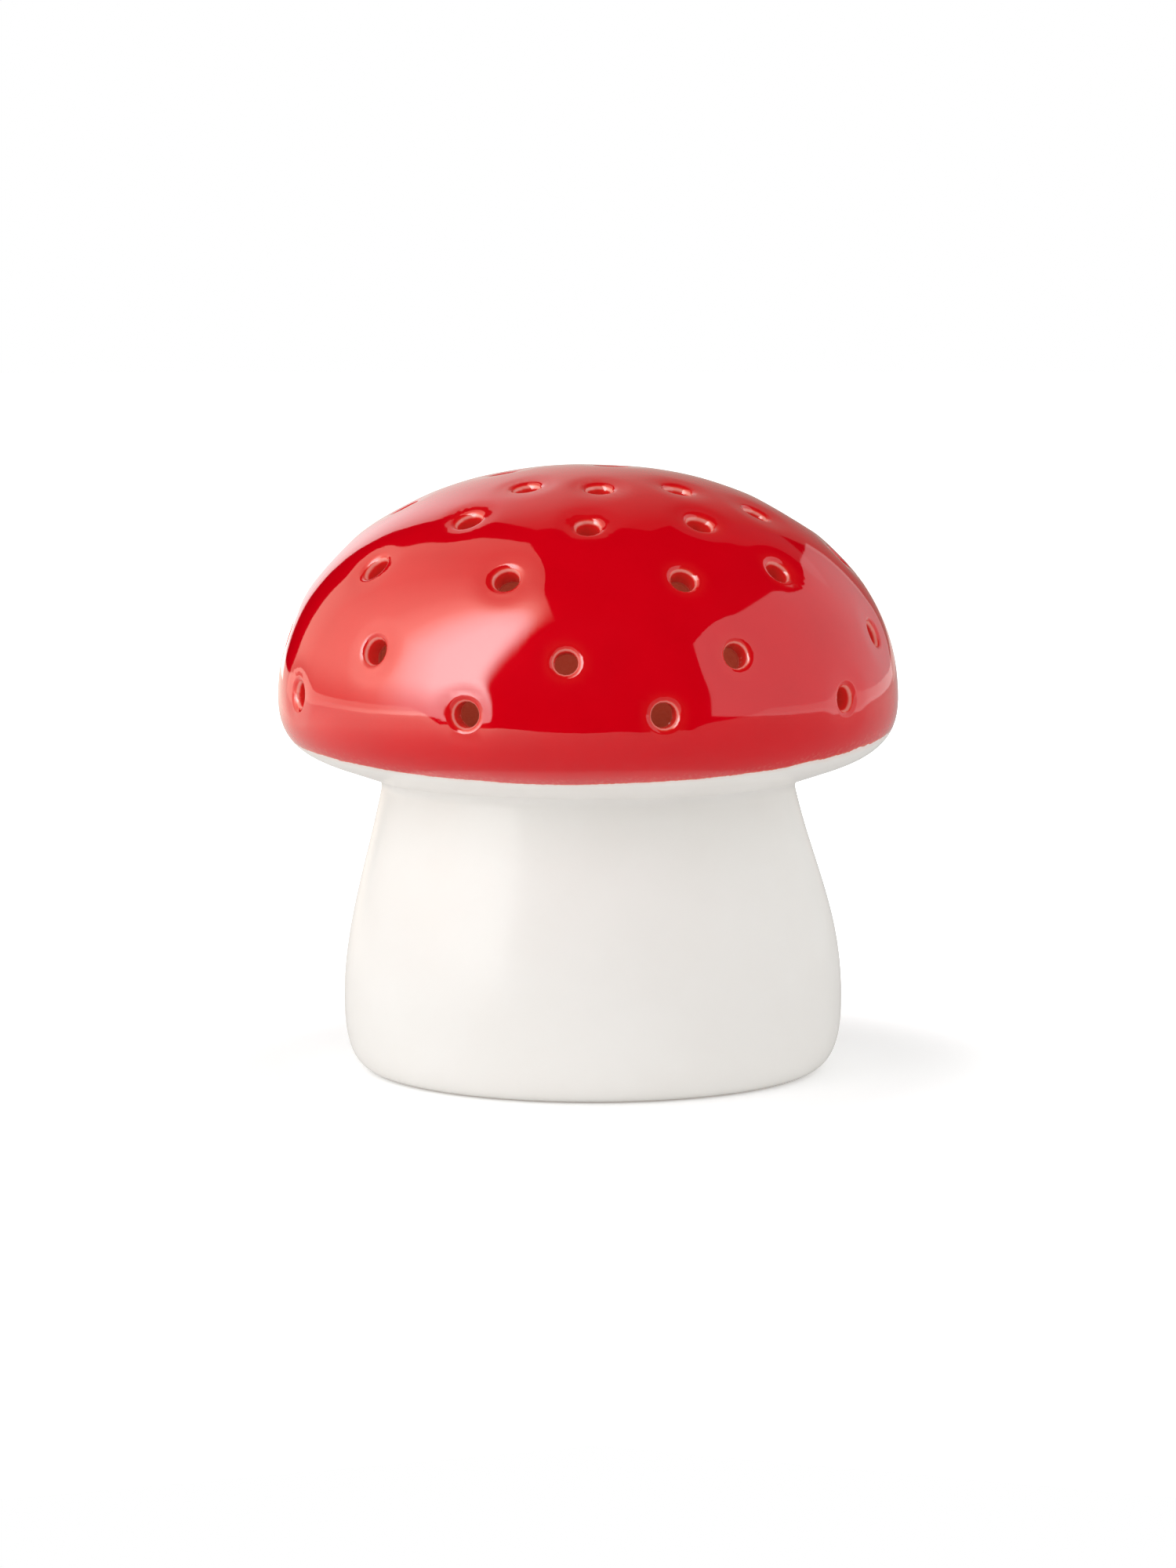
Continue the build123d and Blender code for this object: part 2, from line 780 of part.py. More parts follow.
pieces = {
    "ceramic_cap": make_ceramic_cap(),
    "ceramic_stem": make_ceramic_stem(),
    "retaining_gasket": make_retaining_gasket(),
    "module_housing": make_module_housing(),
    "battery_door": make_battery_door(),
    "door_screw": make_door_screw(),
    "screw_washer": make_screw_washer(),
    "battery_left": make_cell(-cell_x, 1),
    "battery_right": make_cell(cell_x, -1),
    "positive_plate": make_positive_plate(),
    "negative_leaf": make_negative_leaf(),
    "series_bridge": make_series_bridge(),
    "circuit_board": make_circuit_board(),
    "leds": make_leds(),
    "led_phosphors": make_led_phosphors(),
    "driver_chip": make_driver_chip(),
    "resistors": make_resistors(),
    "board_screws": make_board_screws(),
    "switch_body": make_switch_body(),
    "switch_slider": make_switch_slider(),
    "diffuser_dome": make_diffuser_dome(),
}

for name, solid in pieces.items():
    export_step(solid, f"parts/{name}.step")
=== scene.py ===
import math
import random

import bmesh
import bpy
from mathutils import Matrix, Vector, noise
from mathutils.geometry import interpolate_bezier
from mathutils.kdtree import KDTree


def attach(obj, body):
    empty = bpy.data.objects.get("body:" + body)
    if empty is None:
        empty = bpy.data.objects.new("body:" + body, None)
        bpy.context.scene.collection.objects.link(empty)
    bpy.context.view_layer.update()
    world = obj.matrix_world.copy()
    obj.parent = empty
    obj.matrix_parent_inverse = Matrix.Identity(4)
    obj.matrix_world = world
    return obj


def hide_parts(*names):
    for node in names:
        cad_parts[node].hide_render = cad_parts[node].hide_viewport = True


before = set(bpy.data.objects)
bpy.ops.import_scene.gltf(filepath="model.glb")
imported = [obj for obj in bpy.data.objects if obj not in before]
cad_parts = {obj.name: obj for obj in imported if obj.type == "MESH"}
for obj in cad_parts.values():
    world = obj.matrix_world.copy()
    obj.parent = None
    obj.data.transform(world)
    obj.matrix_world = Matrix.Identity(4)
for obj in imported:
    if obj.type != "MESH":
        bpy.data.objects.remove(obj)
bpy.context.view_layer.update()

# Ceramic cap and stem, in millimetres
cap_radius = 50.0
overall_height = 97.5
rim_height = 60.2
dome_fullness = 0.58
lip_radius = 40.4
lip_height = 49.2
lip_fullness = 0.60
slope_angle = math.radians(18.4)
slope_rise = math.tan(slope_angle)
neck_radius = 33.15
neck_height = lip_height - (lip_radius - neck_radius) * slope_rise
neck_softening = 0.8
stem_flare = 0.20
stem_fullness = 0.37
belly_radius = 40.35
belly_height = 11.8
foot_radius = 34.5
foot_fullness = 0.69
recess_radius = 31.5
recess_depth = 3.0
mouth_radius = 29.6
floor_top = 7.0
floor_corner_fullness = 0.55
edge_softening = 0.5
wall = 4.0

# Light holes: share of the way down the dome, then each hole's angle from the front and stray up the cap
hole_rings = [
    (0.974, [(-66, 0.2), (-22, -0.7), (13.5, -0.6), (53.5, 0.4), (93, 0.2),
             (133, -0.4), (172, 0.5), (-148, -0.3), (-106, 0.3)]),
    (0.843, [(-43, 0.3), (-4, -0.5), (28, 0.2), (71, 1.7), (106, 0.4),
             (146, -0.5), (-174, 0.4), (-130, -0.2), (-86, 0.6)]),
    (0.617, [(-54.5, 0.8), (-17.5, -0.4), (20.5, -0.5), (46, 0.4), (86, 1.5),
             (124, 0.4), (160, -0.6), (-164, 0.5), (-127, 0.0), (-90, 0.3)]),
    (0.430, [(-87, 2.7), (-36.5, 0.7), (0, -0.7), (33, -0.1), (61.5, 1.9),
             (91, 0.0), (126, -0.6), (162, 0.7), (-162, 0.0), (-127, 1.0)]),
    (0.256, [(-29, 0.5), (5, 0.1), (41.5, -1.0), (105, -1.6), (145, -0.4), (-175, 0.6), (-135, 0.0)]),
    (0.125, [(-85, -3.0), (80, 6.4), (150, -1.5)]),
]
# Bore and rounding of a hole, how far holes differ and the draw that says so, where a bore starts below its
# mouth and stops short of the inside, the widening of its inner edge, and the dimple round the hole
hole_radius = 1.84
hole_rounding = 1.3
hole_spread = 0.04
hole_draw = 11
bore_start, bore_stop = 0.3, 1.0
inner_edge_widening = 0.25
dimple_depth = 0.22
dimple_reach = 1.5

# Glaze on the holes: how thin it runs at a mouth and how far round it, the turn of the mouth where it is
# thinnest and the spread of that turn, where its pale colour is also a painted highlight, and the bores'
# share of the painted glow in the chamber
mouth_thinness, thin_reach = 0.06, 0.5
thin_turn, thin_spread = math.radians(58), math.radians(17)
bore_painted_glow = 0.5

# The ceramic's mesh: columns round it, millimetres between rows, and steps and points of its small bends
columns = 256
outer_row = 1.15
stem_row = 1.5
inner_row = 2.4
sample_row = 0.05
dome_samples = 4000
trumpet_steps = 9
bend_points, bend_fullness = 7, 0.6
eased_rings, easing_rounds, easing = 3, 5, 0.5
merge_gap = 1e-4

# What each point of the ceramic carries: length down the section, distance above the glaze line, thinness of
# the glaze that also places a painted highlight, depth in a bore, bare clay, and share of the chamber's
# painted glow
skin_layers = ("along", "glaze_line", "glaze_thin_and_painted_highlight", "bore", "bare", "chamber_painted_glow")

# Hand-made unevenness: height of a wave and the distance over which it rises and falls, the height above the
# table at which the waves are whole, and how far and between which heights the mushroom leans to the left
slow_wave = (0.16, 24.0)
quick_wave = (0.045, 9.0)
wave_whole = 8.0
lean = 0.75
lean_from, lean_to = 18.0, 52.0

# Where the red glaze stops, as a length down the section from the crown: mean, wave round the cap, tilt
glaze_line_mean = 78.8
glaze_line_wave = 3.5
glaze_line_tilt = 1.1

# The glaze is wiped off the foot: lengths before the foot's edge where it begins to go and is gone
wiped_from, wiped_to = 1.6, 0.6

# Raised words beside the switch: place, relief, sink into the base, letter height and its share of the
# type size
switch_words = [("ON", 5.4), ("OFF", -5.4)]
switch_x, base_z = -20.0, 1.5
letter_relief, letter_sink, letter_height, letter_share = 0.2, 0.05, 2.0, 0.69

# Cells, in metres from their middle: start of the printed band, half width of its ring, end of the sleeve.
# The left cell's nub points to the back, the right one's to the front
band_start, ring_half, sleeve_end = 0.0125, 0.0006, 0.0213
cell_nub_turn = -1.0

# Board and its parts, in metres: where the cut edge begins, then axis, whether both sides mirror, middle and
# half length of the body between tinned ends
board_edge = 0.02635
chip_body = ("X", False, 0.016, 0.00196)
resistor_body = ("Y", True, 0.007, 0.00115)

to_metres = Matrix.Scale(0.001, 4)


def bent(*points):
    """Points of the half section as vectors, a radius and a height each."""
    return [Vector((radius, 0, height)) for radius, height in points]


def stretch(points, spacing):
    """Points along one cubic or straight stretch of the section, its end left to the next stretch."""
    if len(points) == 2:
        start, end = points
        points = [start, start.lerp(end, 1 / 3), start.lerp(end, 2 / 3), end]
    reach = sum((b - a).length for a, b in zip(points, points[1:]))
    return interpolate_bezier(*points, max(3, math.ceil(reach / spacing) + 1))[:-1]


def dome(radius, top):
    """Dome from its crown to its widest line."""
    handle = top - (top - rim_height) * (1 - dome_fullness)
    return bent((0, top), (radius * dome_fullness, top), (radius, handle), (radius, rim_height))


def lip(radius, low_radius, low_height):
    """Rolled lip from the widest line to the straight underside."""
    reach = lip_fullness * (radius - low_radius)
    drop = lip_fullness * (rim_height - low_height)
    return bent((radius, rim_height), (radius, rim_height - drop),
                (low_radius + reach, low_height + reach * slope_rise), (low_radius, low_height))


def stem(top_radius, top, low_radius):
    """Stem from the crease under the cap down to the belly."""
    drop = stem_fullness * (top - belly_height)
    return bent((top_radius, top), (top_radius + stem_flare * drop, top - drop),
                (low_radius, belly_height + drop), (low_radius, belly_height))


inner_lip_radius = lip_radius - wall * math.sin(slope_angle)
inner_lip_height = lip_height + wall * math.cos(slope_angle)
inner_neck_radius = neck_radius - wall
inner_neck_height = inner_lip_height - (inner_lip_radius - inner_neck_radius) * slope_rise
inner_belly_radius = belly_radius - wall
outer_dome = dome(cap_radius, overall_height)
outer_lip = lip(cap_radius, lip_radius, lip_height)
outer_underside = bent((lip_radius, lip_height), (neck_radius, neck_height))
inner_dome = dome(cap_radius - wall, overall_height - wall)[::-1]
inner_lip = lip(cap_radius - wall, inner_lip_radius, inner_lip_height)[::-1]


def soften(points, corner, reach):
    """Round the section at a corner: the points within the reach give way to a short bend."""
    near = [i for i, point in enumerate(points) if (point - corner).length < reach]
    first, last = near[0] - 1, near[-1] + 1
    start, end = points[first], points[last]
    bend = start, start.lerp(corner, bend_fullness), end.lerp(corner, bend_fullness), end
    points[first:last + 1] = interpolate_bezier(*bend, bend_points)


def section():
    """Half section of the ceramic, from the crown down outside and back up inside."""
    floor_edge = (mouth_radius + inner_belly_radius) / 2
    corner_run = floor_corner_fullness * (inner_belly_radius - floor_edge)
    corner_rise = floor_corner_fullness * (belly_height - floor_top)
    foot = bent((belly_radius, belly_height), (belly_radius, belly_height * (1 - foot_fullness)),
                (foot_radius + (belly_radius - foot_radius) * foot_fullness, 0), (foot_radius, 0))
    base = bent((foot_radius, 0), (recess_radius, 0), (recess_radius, recess_depth),
                (mouth_radius, recess_depth), (mouth_radius, floor_top), (floor_edge, floor_top))
    inner_corner = bent((floor_edge, floor_top), (floor_edge + corner_run, floor_top),
                        (inner_belly_radius, belly_height - corner_rise), (inner_belly_radius, belly_height))
    inner_stem = stem(inner_neck_radius, inner_neck_height, inner_belly_radius)[::-1]
    inner_underside = bent((inner_neck_radius, inner_neck_height), (inner_lip_radius, inner_lip_height))
    points = []
    for curve, spacing in [
        (outer_dome, outer_row), (outer_lip, outer_row), (outer_underside, outer_row),
        (stem(neck_radius, neck_height, belly_radius), stem_row), (foot, outer_row),
        *[(run, edge_softening) for run in zip(base, base[1:])],
        (inner_corner, inner_row), (inner_stem, inner_row), (inner_underside, inner_row),
        (inner_lip, inner_row), (inner_dome, inner_row),
    ]:
        points += stretch(list(curve), spacing)
    points.append(inner_dome[-1])
    soften(points, outer_underside[1], neck_softening)
    for corner in base[:5]:
        soften(points, corner, edge_softening)
    return points


def skin_samples(*curves):
    """Fine points of a turned skin with their normals, in a tree that finds the nearest."""
    points = [point for curve in curves for point in stretch(list(curve), sample_row)]
    tree = KDTree(len(points) - 1)
    normals = []
    for i, (a, b) in enumerate(zip(points, points[1:])):
        tree.insert(a, i)
        along = (b - a).normalized()
        normals.append((-along.z, along.x))
    tree.balance()
    return tree, normals


def seated(skin, point):
    """The point moved straight onto a turned skin."""
    tree, normals = skin
    radius = math.hypot(point.x, point.y)
    foot, index, _ = tree.find((radius, 0, point.z))
    out, up = normals[index]
    gap = (radius - foot.x) * out + (point.z - foot.z) * up
    share = (radius - gap * out) / radius
    return Vector((point.x * share, point.y * share, point.z - gap * up))


def hole_places():
    """Centre on the cap and outward direction of every light hole."""
    places = []
    curve = interpolate_bezier(*outer_dome, dome_samples)
    for share, holes in hole_rings:
        for angle, lift in holes:
            index = round(share * (dome_samples - 1))
            step = (curve[index + 1] - curve[index]).length
            index -= round(lift / step)
            along = (curve[index + 1] - curve[index]).normalized()
            turn = Matrix.Rotation(math.radians(angle - 90), 3, "Z")
            places.append((turn @ curve[index], turn @ Vector((-along.z, 0, along.x))))
    return places


def off_axis(point, centre, out):
    """Part of the way from a hole's centre to a point that lies across the hole's axis."""
    away = point - centre
    return away - out * away.dot(out)


def open_skin(bm, faces, skin, holes):
    """Take one skin's faces away from round the axes of the holes and set the edges they leave on circles."""
    finder = KDTree(len(faces))
    for i, face in enumerate(faces):
        finder.insert(face.calc_center_median(), i)
    finder.balance()
    number = bm.verts.layers.int["hole"]
    gone, rings = [], []
    for centre, out, radius in holes:
        near = [faces[n] for _, n, _ in finder.find_range(centre, 2 * radius)]
        taken = [f for f in near if off_axis(f.calc_center_median(), centre, out).length < radius]
        gone += taken
        rings.append({edge for face in taken for edge in face.edges})
    bmesh.ops.delete(bm, geom=gone, context="FACES")
    rings = [[edge for edge in ring if edge.is_valid] for ring in rings]
    rims = set()
    for i, (ring, (centre, out, radius)) in enumerate(zip(rings, holes)):
        for v in {v for edge in ring for v in edge.verts}:
            v[number] = i
            v.co = seated(skin, centre + off_axis(v.co, centre, out).normalized() * radius)
            rims.add(v)
    near, front = set(), rims
    for _ in range(eased_rings):
        front = {edge.other_vert(v) for v in front for edge in v.link_edges} - near - rims
        near |= front
    for _ in range(easing_rounds):
        bmesh.ops.smooth_vert(bm, verts=list(near), factor=easing,
                              use_axis_x=True, use_axis_y=True, use_axis_z=True)
        for v in near:
            v.co = seated(skin, v.co)
    return rings


def pierce(bm, outer, inner, holes):
    """All the light holes: rolled trumpet mouths, bores, and their edges inside the cap."""
    number = bm.verts.layers.int["hole"]
    thin, deep = bm.verts.layers.float["glaze_thin_and_painted_highlight"], bm.verts.layers.float["bore"]
    mouths = open_skin(bm, *outer, [(centre, out, bore + rounding) for centre, out, bore, rounding in holes])
    ends = open_skin(bm, *inner, [(centre - out * wall, out, bore + inner_edge_widening)
                                  for centre, out, bore, _ in holes])
    for v in {v for ring in ends for edge in ring for v in edge.verts}:
        v[deep] = 1.0
    edges = [edge for ring in mouths for edge in ring]
    for v in {v for edge in edges for v in edge.verts}:
        v[thin] = mouth_thinness
    turns = [math.radians(90 * step / trumpet_steps) for step in range(1, trumpet_steps + 1)]
    stations = [(turn, 0.0) for turn in turns]
    stations += [(turns[-1], bore_start), (turns[-1], wall - bore_stop - hole_rounding)]
    for turn, depth in stations:
        grown = bmesh.ops.extrude_edge_only(bm, edges=edges)["geom"]
        verts = [g for g in grown if isinstance(g, bmesh.types.BMVert)]
        for v in verts:
            centre, out, bore, rounding = holes[v[number]]
            reach = bore + rounding * (1 - math.sin(turn))
            fall = (bore + rounding) ** 2 / (2 * cap_radius) + rounding * (1 - math.cos(turn)) + depth
            v.co = centre + off_axis(v.co, centre, out).normalized() * reach - out * fall
            # Thin glaze peaks on this turn of the mouth, where its pale colour is also a painted highlight
            thinnest = math.exp(-((turn - thin_turn) / thin_spread) ** 2)
            v[thin] = max(mouth_thinness * math.cos(turn), thinnest)
            v[deep] = 1.0 if depth else smooth_rise(thin_turn, turns[-1], turn)
        edges = list({edge for v in verts for edge in v.link_edges if edge.is_boundary})
    for i, end in enumerate(ends):
        bmesh.ops.bridge_loops(bm, edges=end + [edge for edge in edges if edge.verts[0][number] == i])


def smooth_rise(low, high, value):
    """From 0 at the low value to 1 at the high one, with soft ends."""
    share = min(max((value - low) / (high - low), 0), 1)
    return share * share * (3 - 2 * share)


def unevenness(point):
    """How far the hand-made surface stands out at a point, in millimetres."""
    return sum(height * noise.noise(point / length) for height, length in (slow_wave, quick_wave))


def finish_by_hand(bm, places, foot):
    """Glaze every point of the ceramic and give it its share of the painted glow, then give its outside soft
    dimples and waves and the whole a lean.
    """
    along, line, thin, bore, bare, chamber_painted_glow = [bm.verts.layers.float[name] for name in skin_layers]
    nearest = KDTree(len(places))
    for i, (centre, _) in enumerate(places):
        nearest.insert(centre, i)
    nearest.balance()
    mouth = hole_radius + hole_rounding
    moves = []
    for v in bm.verts:
        angle = math.atan2(v.co.x, -v.co.y)
        edge = glaze_line_mean + glaze_line_wave * math.cos(2 * angle) - glaze_line_tilt * math.sin(angle)
        inside = v[along] > foot and not v[thin]
        v[line] = -wall if inside else edge - v[along]
        v[bare] = 1.0 if inside else smooth_rise(foot - wiped_from, foot - wiped_to, v[along])
        # Share of the painted glow: the inside of the cap, rising towards the rim, and the bores
        v[chamber_painted_glow] = smooth_rise(neck_height, rim_height, v.co.z) if inside else bore_painted_glow * v[bore]
        _, index, _ = nearest.find(v.co)
        centre, out = places[index]
        beyond = max(off_axis(v.co, centre, out).length - mouth, 0)
        if not inside and not v[bore]:
            v[thin] = max(v[thin], mouth_thinness * math.exp(-(beyond / thin_reach) ** 2))
        if v[along] < foot:
            dent = out * -dimple_depth * math.exp(-(beyond / dimple_reach) ** 2)
            moves.append((v, v.normal * unevenness(v.co) * smooth_rise(0, wave_whole, v.co.z) + dent))
    for v, move in moves:
        v.co += move
    for v in bm.verts:
        v.co.x -= lean * smooth_rise(lean_from, lean_to, v.co.z)


def make_ceramic():
    """Mesh of the glazed cap and stem: spun section, pierced holes, then the finish by hand."""
    bm = bmesh.new()
    for name in skin_layers:
        bm.verts.layers.float.new(name)
    bm.verts.layers.int.new("hole")
    along = bm.verts.layers.float["along"]
    points = section()
    chain = [bm.verts.new(point) for point in points]
    runs = [bm.edges.new(pair) for pair in zip(chain, chain[1:])]
    length = 0.0
    for i, v in enumerate(chain):
        length += (points[i] - points[i - 1]).length if i else 0.0
        v[along] = length
    foot = min(chain, key=lambda v: (v.co - Vector((foot_radius, 0, 0))).length)[along]
    bmesh.ops.spin(bm, geom=chain + runs, cent=(0, 0, 0), axis=(0, 0, 1), dvec=(0, 0, 0),
                   angle=2 * math.pi, steps=columns, use_merge=True, use_duplicate=False)
    bmesh.ops.remove_doubles(bm, verts=bm.verts, dist=merge_gap)

    high_faces = [f for f in bm.faces if f.calc_center_median().z > neck_height]
    outer_faces = [f for f in high_faces if max(v[along] for v in f.verts) < foot]
    inner_faces = [f for f in high_faces if min(v[along] for v in f.verts) > foot]
    draw = random.Random(hole_draw)
    places = hole_places()
    holes = []
    for centre, out in places:
        bore_radius = hole_radius * draw.uniform(1 - hole_spread, 1 + hole_spread)
        rounding = hole_rounding * draw.uniform(1 - 2 * hole_spread, 1 + 2 * hole_spread)
        holes.append((centre, out, bore_radius, rounding))
    pierce(bm, (outer_faces, skin_samples(outer_dome, outer_lip, outer_underside)),
           (inner_faces, skin_samples(inner_dome[::-1], inner_lip[::-1])), holes)
    bmesh.ops.recalc_face_normals(bm, faces=bm.faces)
    bm.normal_update()
    finish_by_hand(bm, places, foot)
    bmesh.ops.transform(bm, matrix=to_metres, verts=bm.verts)
    return bm


def piece(name, bm, body, slot, finish, *nodes):
    """Finished mesh as a piece of the object: smooth, dressed, on its body and in the place of its nodes."""
    mesh = bpy.data.meshes.new(name)
    bm.to_mesh(mesh)
    bm.free()
    mesh.shade_smooth()
    mesh.materials.append(finish)
    made = bpy.data.objects.new(name, mesh)
    bpy.context.scene.collection.objects.link(made)
    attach(made, body)
    if nodes:
        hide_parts(*nodes)
    return made


def moulded_words():
    """Words standing proud of the base beside the switch, turned to be read from below."""
    bm = bmesh.new()
    for word, y in switch_words:
        letters = bpy.data.curves.new(word, "FONT")
        letters.body = word
        letters.size = letter_height / letter_share
        letters.align_x = letters.align_y = "CENTER"
        letters.extrude = (letter_relief + letter_sink) / 2
        shown = bpy.data.objects.new(word, letters)
        bpy.context.scene.collection.objects.link(shown)
        ready = shown.evaluated_get(bpy.context.evaluated_depsgraph_get())
        mesh = bpy.data.meshes.new_from_object(ready)
        bpy.data.objects.remove(shown)
        for v in mesh.vertices:
            v.co = (switch_x + v.co.x, y - v.co.y, base_z - (letter_relief - letter_sink) / 2 - v.co.z)
        bm.from_mesh(mesh)
    bmesh.ops.remove_doubles(bm, verts=bm.verts, dist=merge_gap)
    bmesh.ops.recalc_face_normals(bm, faces=bm.faces)
    bmesh.ops.transform(bm, matrix=to_metres, verts=bm.verts)
    return bm


def colour(code):
    """Linear colour of an sRGB hex code."""
    parts = [int(code[i:i + 2], 16) / 255 for i in (1, 3, 5)]
    return (*[p / 12.92 if p <= 0.04045 else ((p + 0.055) / 1.055) ** 2.4 for p in parts], 1.0)


def per_mm(size):
    """Texture scale at which one feature spans a size in millimetres."""
    return 1000.0 / size


def add(tree, kind, inputs=None, **settings):
    """Add a shader node with its settings, its plain values and its incoming links."""
    made = tree.nodes.new(f"ShaderNode{kind}")
    for name, value in settings.items():
        setattr(made, name, value)
    for socket, value in (inputs or {}).items():
        if isinstance(value, bpy.types.NodeSocket):
            tree.links.new(value, made.inputs[socket])
        else:
            made.inputs[socket].default_value = value
    return made


def shaded(name, values):
    """New material with its Principled shader's own sockets set, and its tree."""
    made = bpy.data.materials.new(name)
    made.use_nodes = True
    tree = made.node_tree
    shader = tree.nodes["Principled BSDF"]
    for socket, value in values.items():
        shader.inputs[socket].default_value = value
    return made, tree, shader


def glazed_earthenware():
    """Slip-cast earthenware under a brushed red and a dipped white glaze, fired glossy. The glaze runs thin
    and pale on the sharp edges of the holes, where the pale is also a painted highlight, ends in an orange
    line with a pink bleed, and leaves the foot bare. The inside of the cap and the bores carry a painted
    glow."""
    made, tree, shader = shaded("glazed_earthenware", {"IOR": 1.5})
    place = add(tree, "TexCoord").outputs["Object"]
    line = add(tree, "Attribute", attribute_name="glaze_line").outputs["Fac"]
    thin = add(tree, "Attribute", attribute_name="glaze_thin_and_painted_highlight").outputs["Fac"]
    bore = add(tree, "Attribute", attribute_name="bore").outputs["Fac"]
    bare = add(tree, "Attribute", attribute_name="bare").outputs["Fac"]

    brush = add(tree, "TexNoise", {"Vector": place, "Scale": per_mm(7), "Detail": 1.0}).outputs["Fac"]
    ragged = add(tree, "TexNoise", {"Vector": place, "Scale": per_mm(0.8), "Detail": 4.0}).outputs["Fac"]
    sway = add(tree, "MapRange", {"Value": brush, "To Min": -0.5, "To Max": 0.5}).outputs["Result"]
    fray = add(tree, "MapRange", {"Value": ragged, "To Min": -0.3, "To Max": 0.3}).outputs["Result"]
    swayed = add(tree, "Math", {0: line, 1: sway}, operation="ADD").outputs[0]
    edge = add(tree, "Math", {0: swayed, 1: fray}, operation="ADD").outputs[0]

    mottle = add(tree, "TexNoise", {"Vector": place, "Scale": per_mm(11), "Detail": 3.0}).outputs["Fac"]
    red = add(tree, "Mix", {0: mottle, 6: colour("#D10011"), 7: colour("#E20015")},
              data_type="RGBA").outputs[2]
    white = add(tree, "Mix", {0: mottle, 6: colour("#F2EFEA"), 7: colour("#F6F4F0")},
                data_type="RGBA").outputs[2]
    bleed = add(tree, "MapRange", {"Value": edge, "From Min": -1.6, "From Max": 0.0, "To Max": 0.16},
                interpolation_type="SMOOTHSTEP").outputs["Result"]
    blushed = add(tree, "Mix", {0: bleed, 6: white, 7: colour("#F0907C")}, data_type="RGBA").outputs[2]
    speckle = add(tree, "TexNoise", {"Vector": place, "Scale": per_mm(0.6), "Detail": 2.0}).outputs["Fac"]
    near = add(tree, "MapRange", {"Value": edge, "From Min": 3.0, "From Max": 0.5, "To Max": 0.3},
               interpolation_type="SMOOTHSTEP").outputs["Result"]
    specks = add(tree, "MapRange", {"Value": speckle, "From Min": 0.5, "From Max": 0.7}).outputs["Result"]
    thinned = add(tree, "Math", {0: near, 1: specks}, operation="MULTIPLY").outputs[0]
    speckled = add(tree, "Mix", {0: thinned, 6: red, 7: colour("#E86A5C")}, data_type="RGBA").outputs[2]
    rim = add(tree, "MapRange", {"Value": edge, "From Min": 0.05, "From Max": 0.55},
              interpolation_type="SMOOTHSTEP").outputs["Result"]
    orange = add(tree, "Mix", {0: rim, 6: colour("#E4502E"), 7: speckled}, data_type="RGBA").outputs[2]
    over = add(tree, "MapRange", {"Value": edge, "From Min": -0.08, "From Max": 0.08},
               interpolation_type="SMOOTHSTEP").outputs["Result"]
    glaze = add(tree, "Mix", {0: over, 6: blushed, 7: orange}, data_type="RGBA").outputs[2]

    # Thin glaze at a mouth turns orange, then pale; the pale is brightened as a painted highlight on an edge
    # in shade
    warm = add(tree, "MapRange", {"Value": thin, "From Max": 0.5, "To Max": 0.7}).outputs["Result"]
    warmed = add(tree, "Mix", {0: warm, 6: glaze, 7: colour("#F04434")}, data_type="RGBA").outputs[2]
    pale_and_painted_light = add(tree, "MapRange", {"Value": thin, "From Min": 0.35, "From Max": 1.0, "To Max": 0.6},
               interpolation_type="SMOOTHSTEP").outputs["Result"]
    broken = add(tree, "Mix", {0: pale_and_painted_light, 6: warmed, 7: colour("#FFBCB0")}, data_type="RGBA").outputs[2]
    piped = add(tree, "Mix", {0: bore, 6: broken, 7: colour("#E0141C")}, data_type="RGBA").outputs[2]
    clay = add(tree, "Mix", {0: ragged, 6: colour("#CDB49A"), 7: colour("#E2CFB8")},
               data_type="RGBA").outputs[2]
    body = add(tree, "Mix", {0: bare, 6: piped, 7: clay}, data_type="RGBA").outputs[2]
    tree.links.new(body, shader.inputs["Base Color"])

    # Painted glow on the inside of the cap and in the bores: it stands in for the light that a closed chamber
    # passes round from its holes many times, more than the renderer follows
    chamber_painted_glow = add(tree, "Attribute", attribute_name="chamber_painted_glow").outputs["Fac"]
    shader.inputs["Emission Color"].default_value = colour("#C04A3C")
    glow = add(tree, "Math", {0: chamber_painted_glow, 1: 0.24}, operation="MULTIPLY").outputs[0]
    tree.links.new(glow, shader.inputs["Emission Strength"])

    shine = add(tree, "MapRange", {"Value": over, "To Min": 0.05, "To Max": 0.5}).outputs["Result"]
    tree.links.new(shine, shader.inputs["Specular IOR Level"])
    glassy = add(tree, "MapRange", {"Value": mottle, "To Min": 0.03, "To Max": 0.07}).outputs["Result"]
    gloss = add(tree, "Mix", {0: over, 2: 0.2, 3: glassy}, data_type="FLOAT").outputs[0]
    matt = add(tree, "Mix", {0: bare, 2: gloss, 3: 0.8}, data_type="FLOAT").outputs[0]
    tree.links.new(matt, shader.inputs["Roughness"])
    grain = add(tree, "TexNoise", {"Vector": place, "Scale": per_mm(0.35), "Detail": 2.0}).outputs["Fac"]
    tooth = add(tree, "Math", {0: grain, 1: bare}, operation="MULTIPLY").outputs[0]
    peel = add(tree, "TexNoise", {"Vector": place, "Scale": per_mm(3.2), "Detail": 1.0}).outputs["Fac"]
    rough = add(tree, "Bump", {"Height": tooth, "Distance": 0.00006, "Strength": 0.6}).outputs["Normal"]
    skin = add(tree, "Bump", {"Height": peel, "Distance": 0.00002, "Strength": 0.5,
                              "Normal": rough}).outputs["Normal"]
    tree.links.new(skin, shader.inputs["Normal"])
    return made


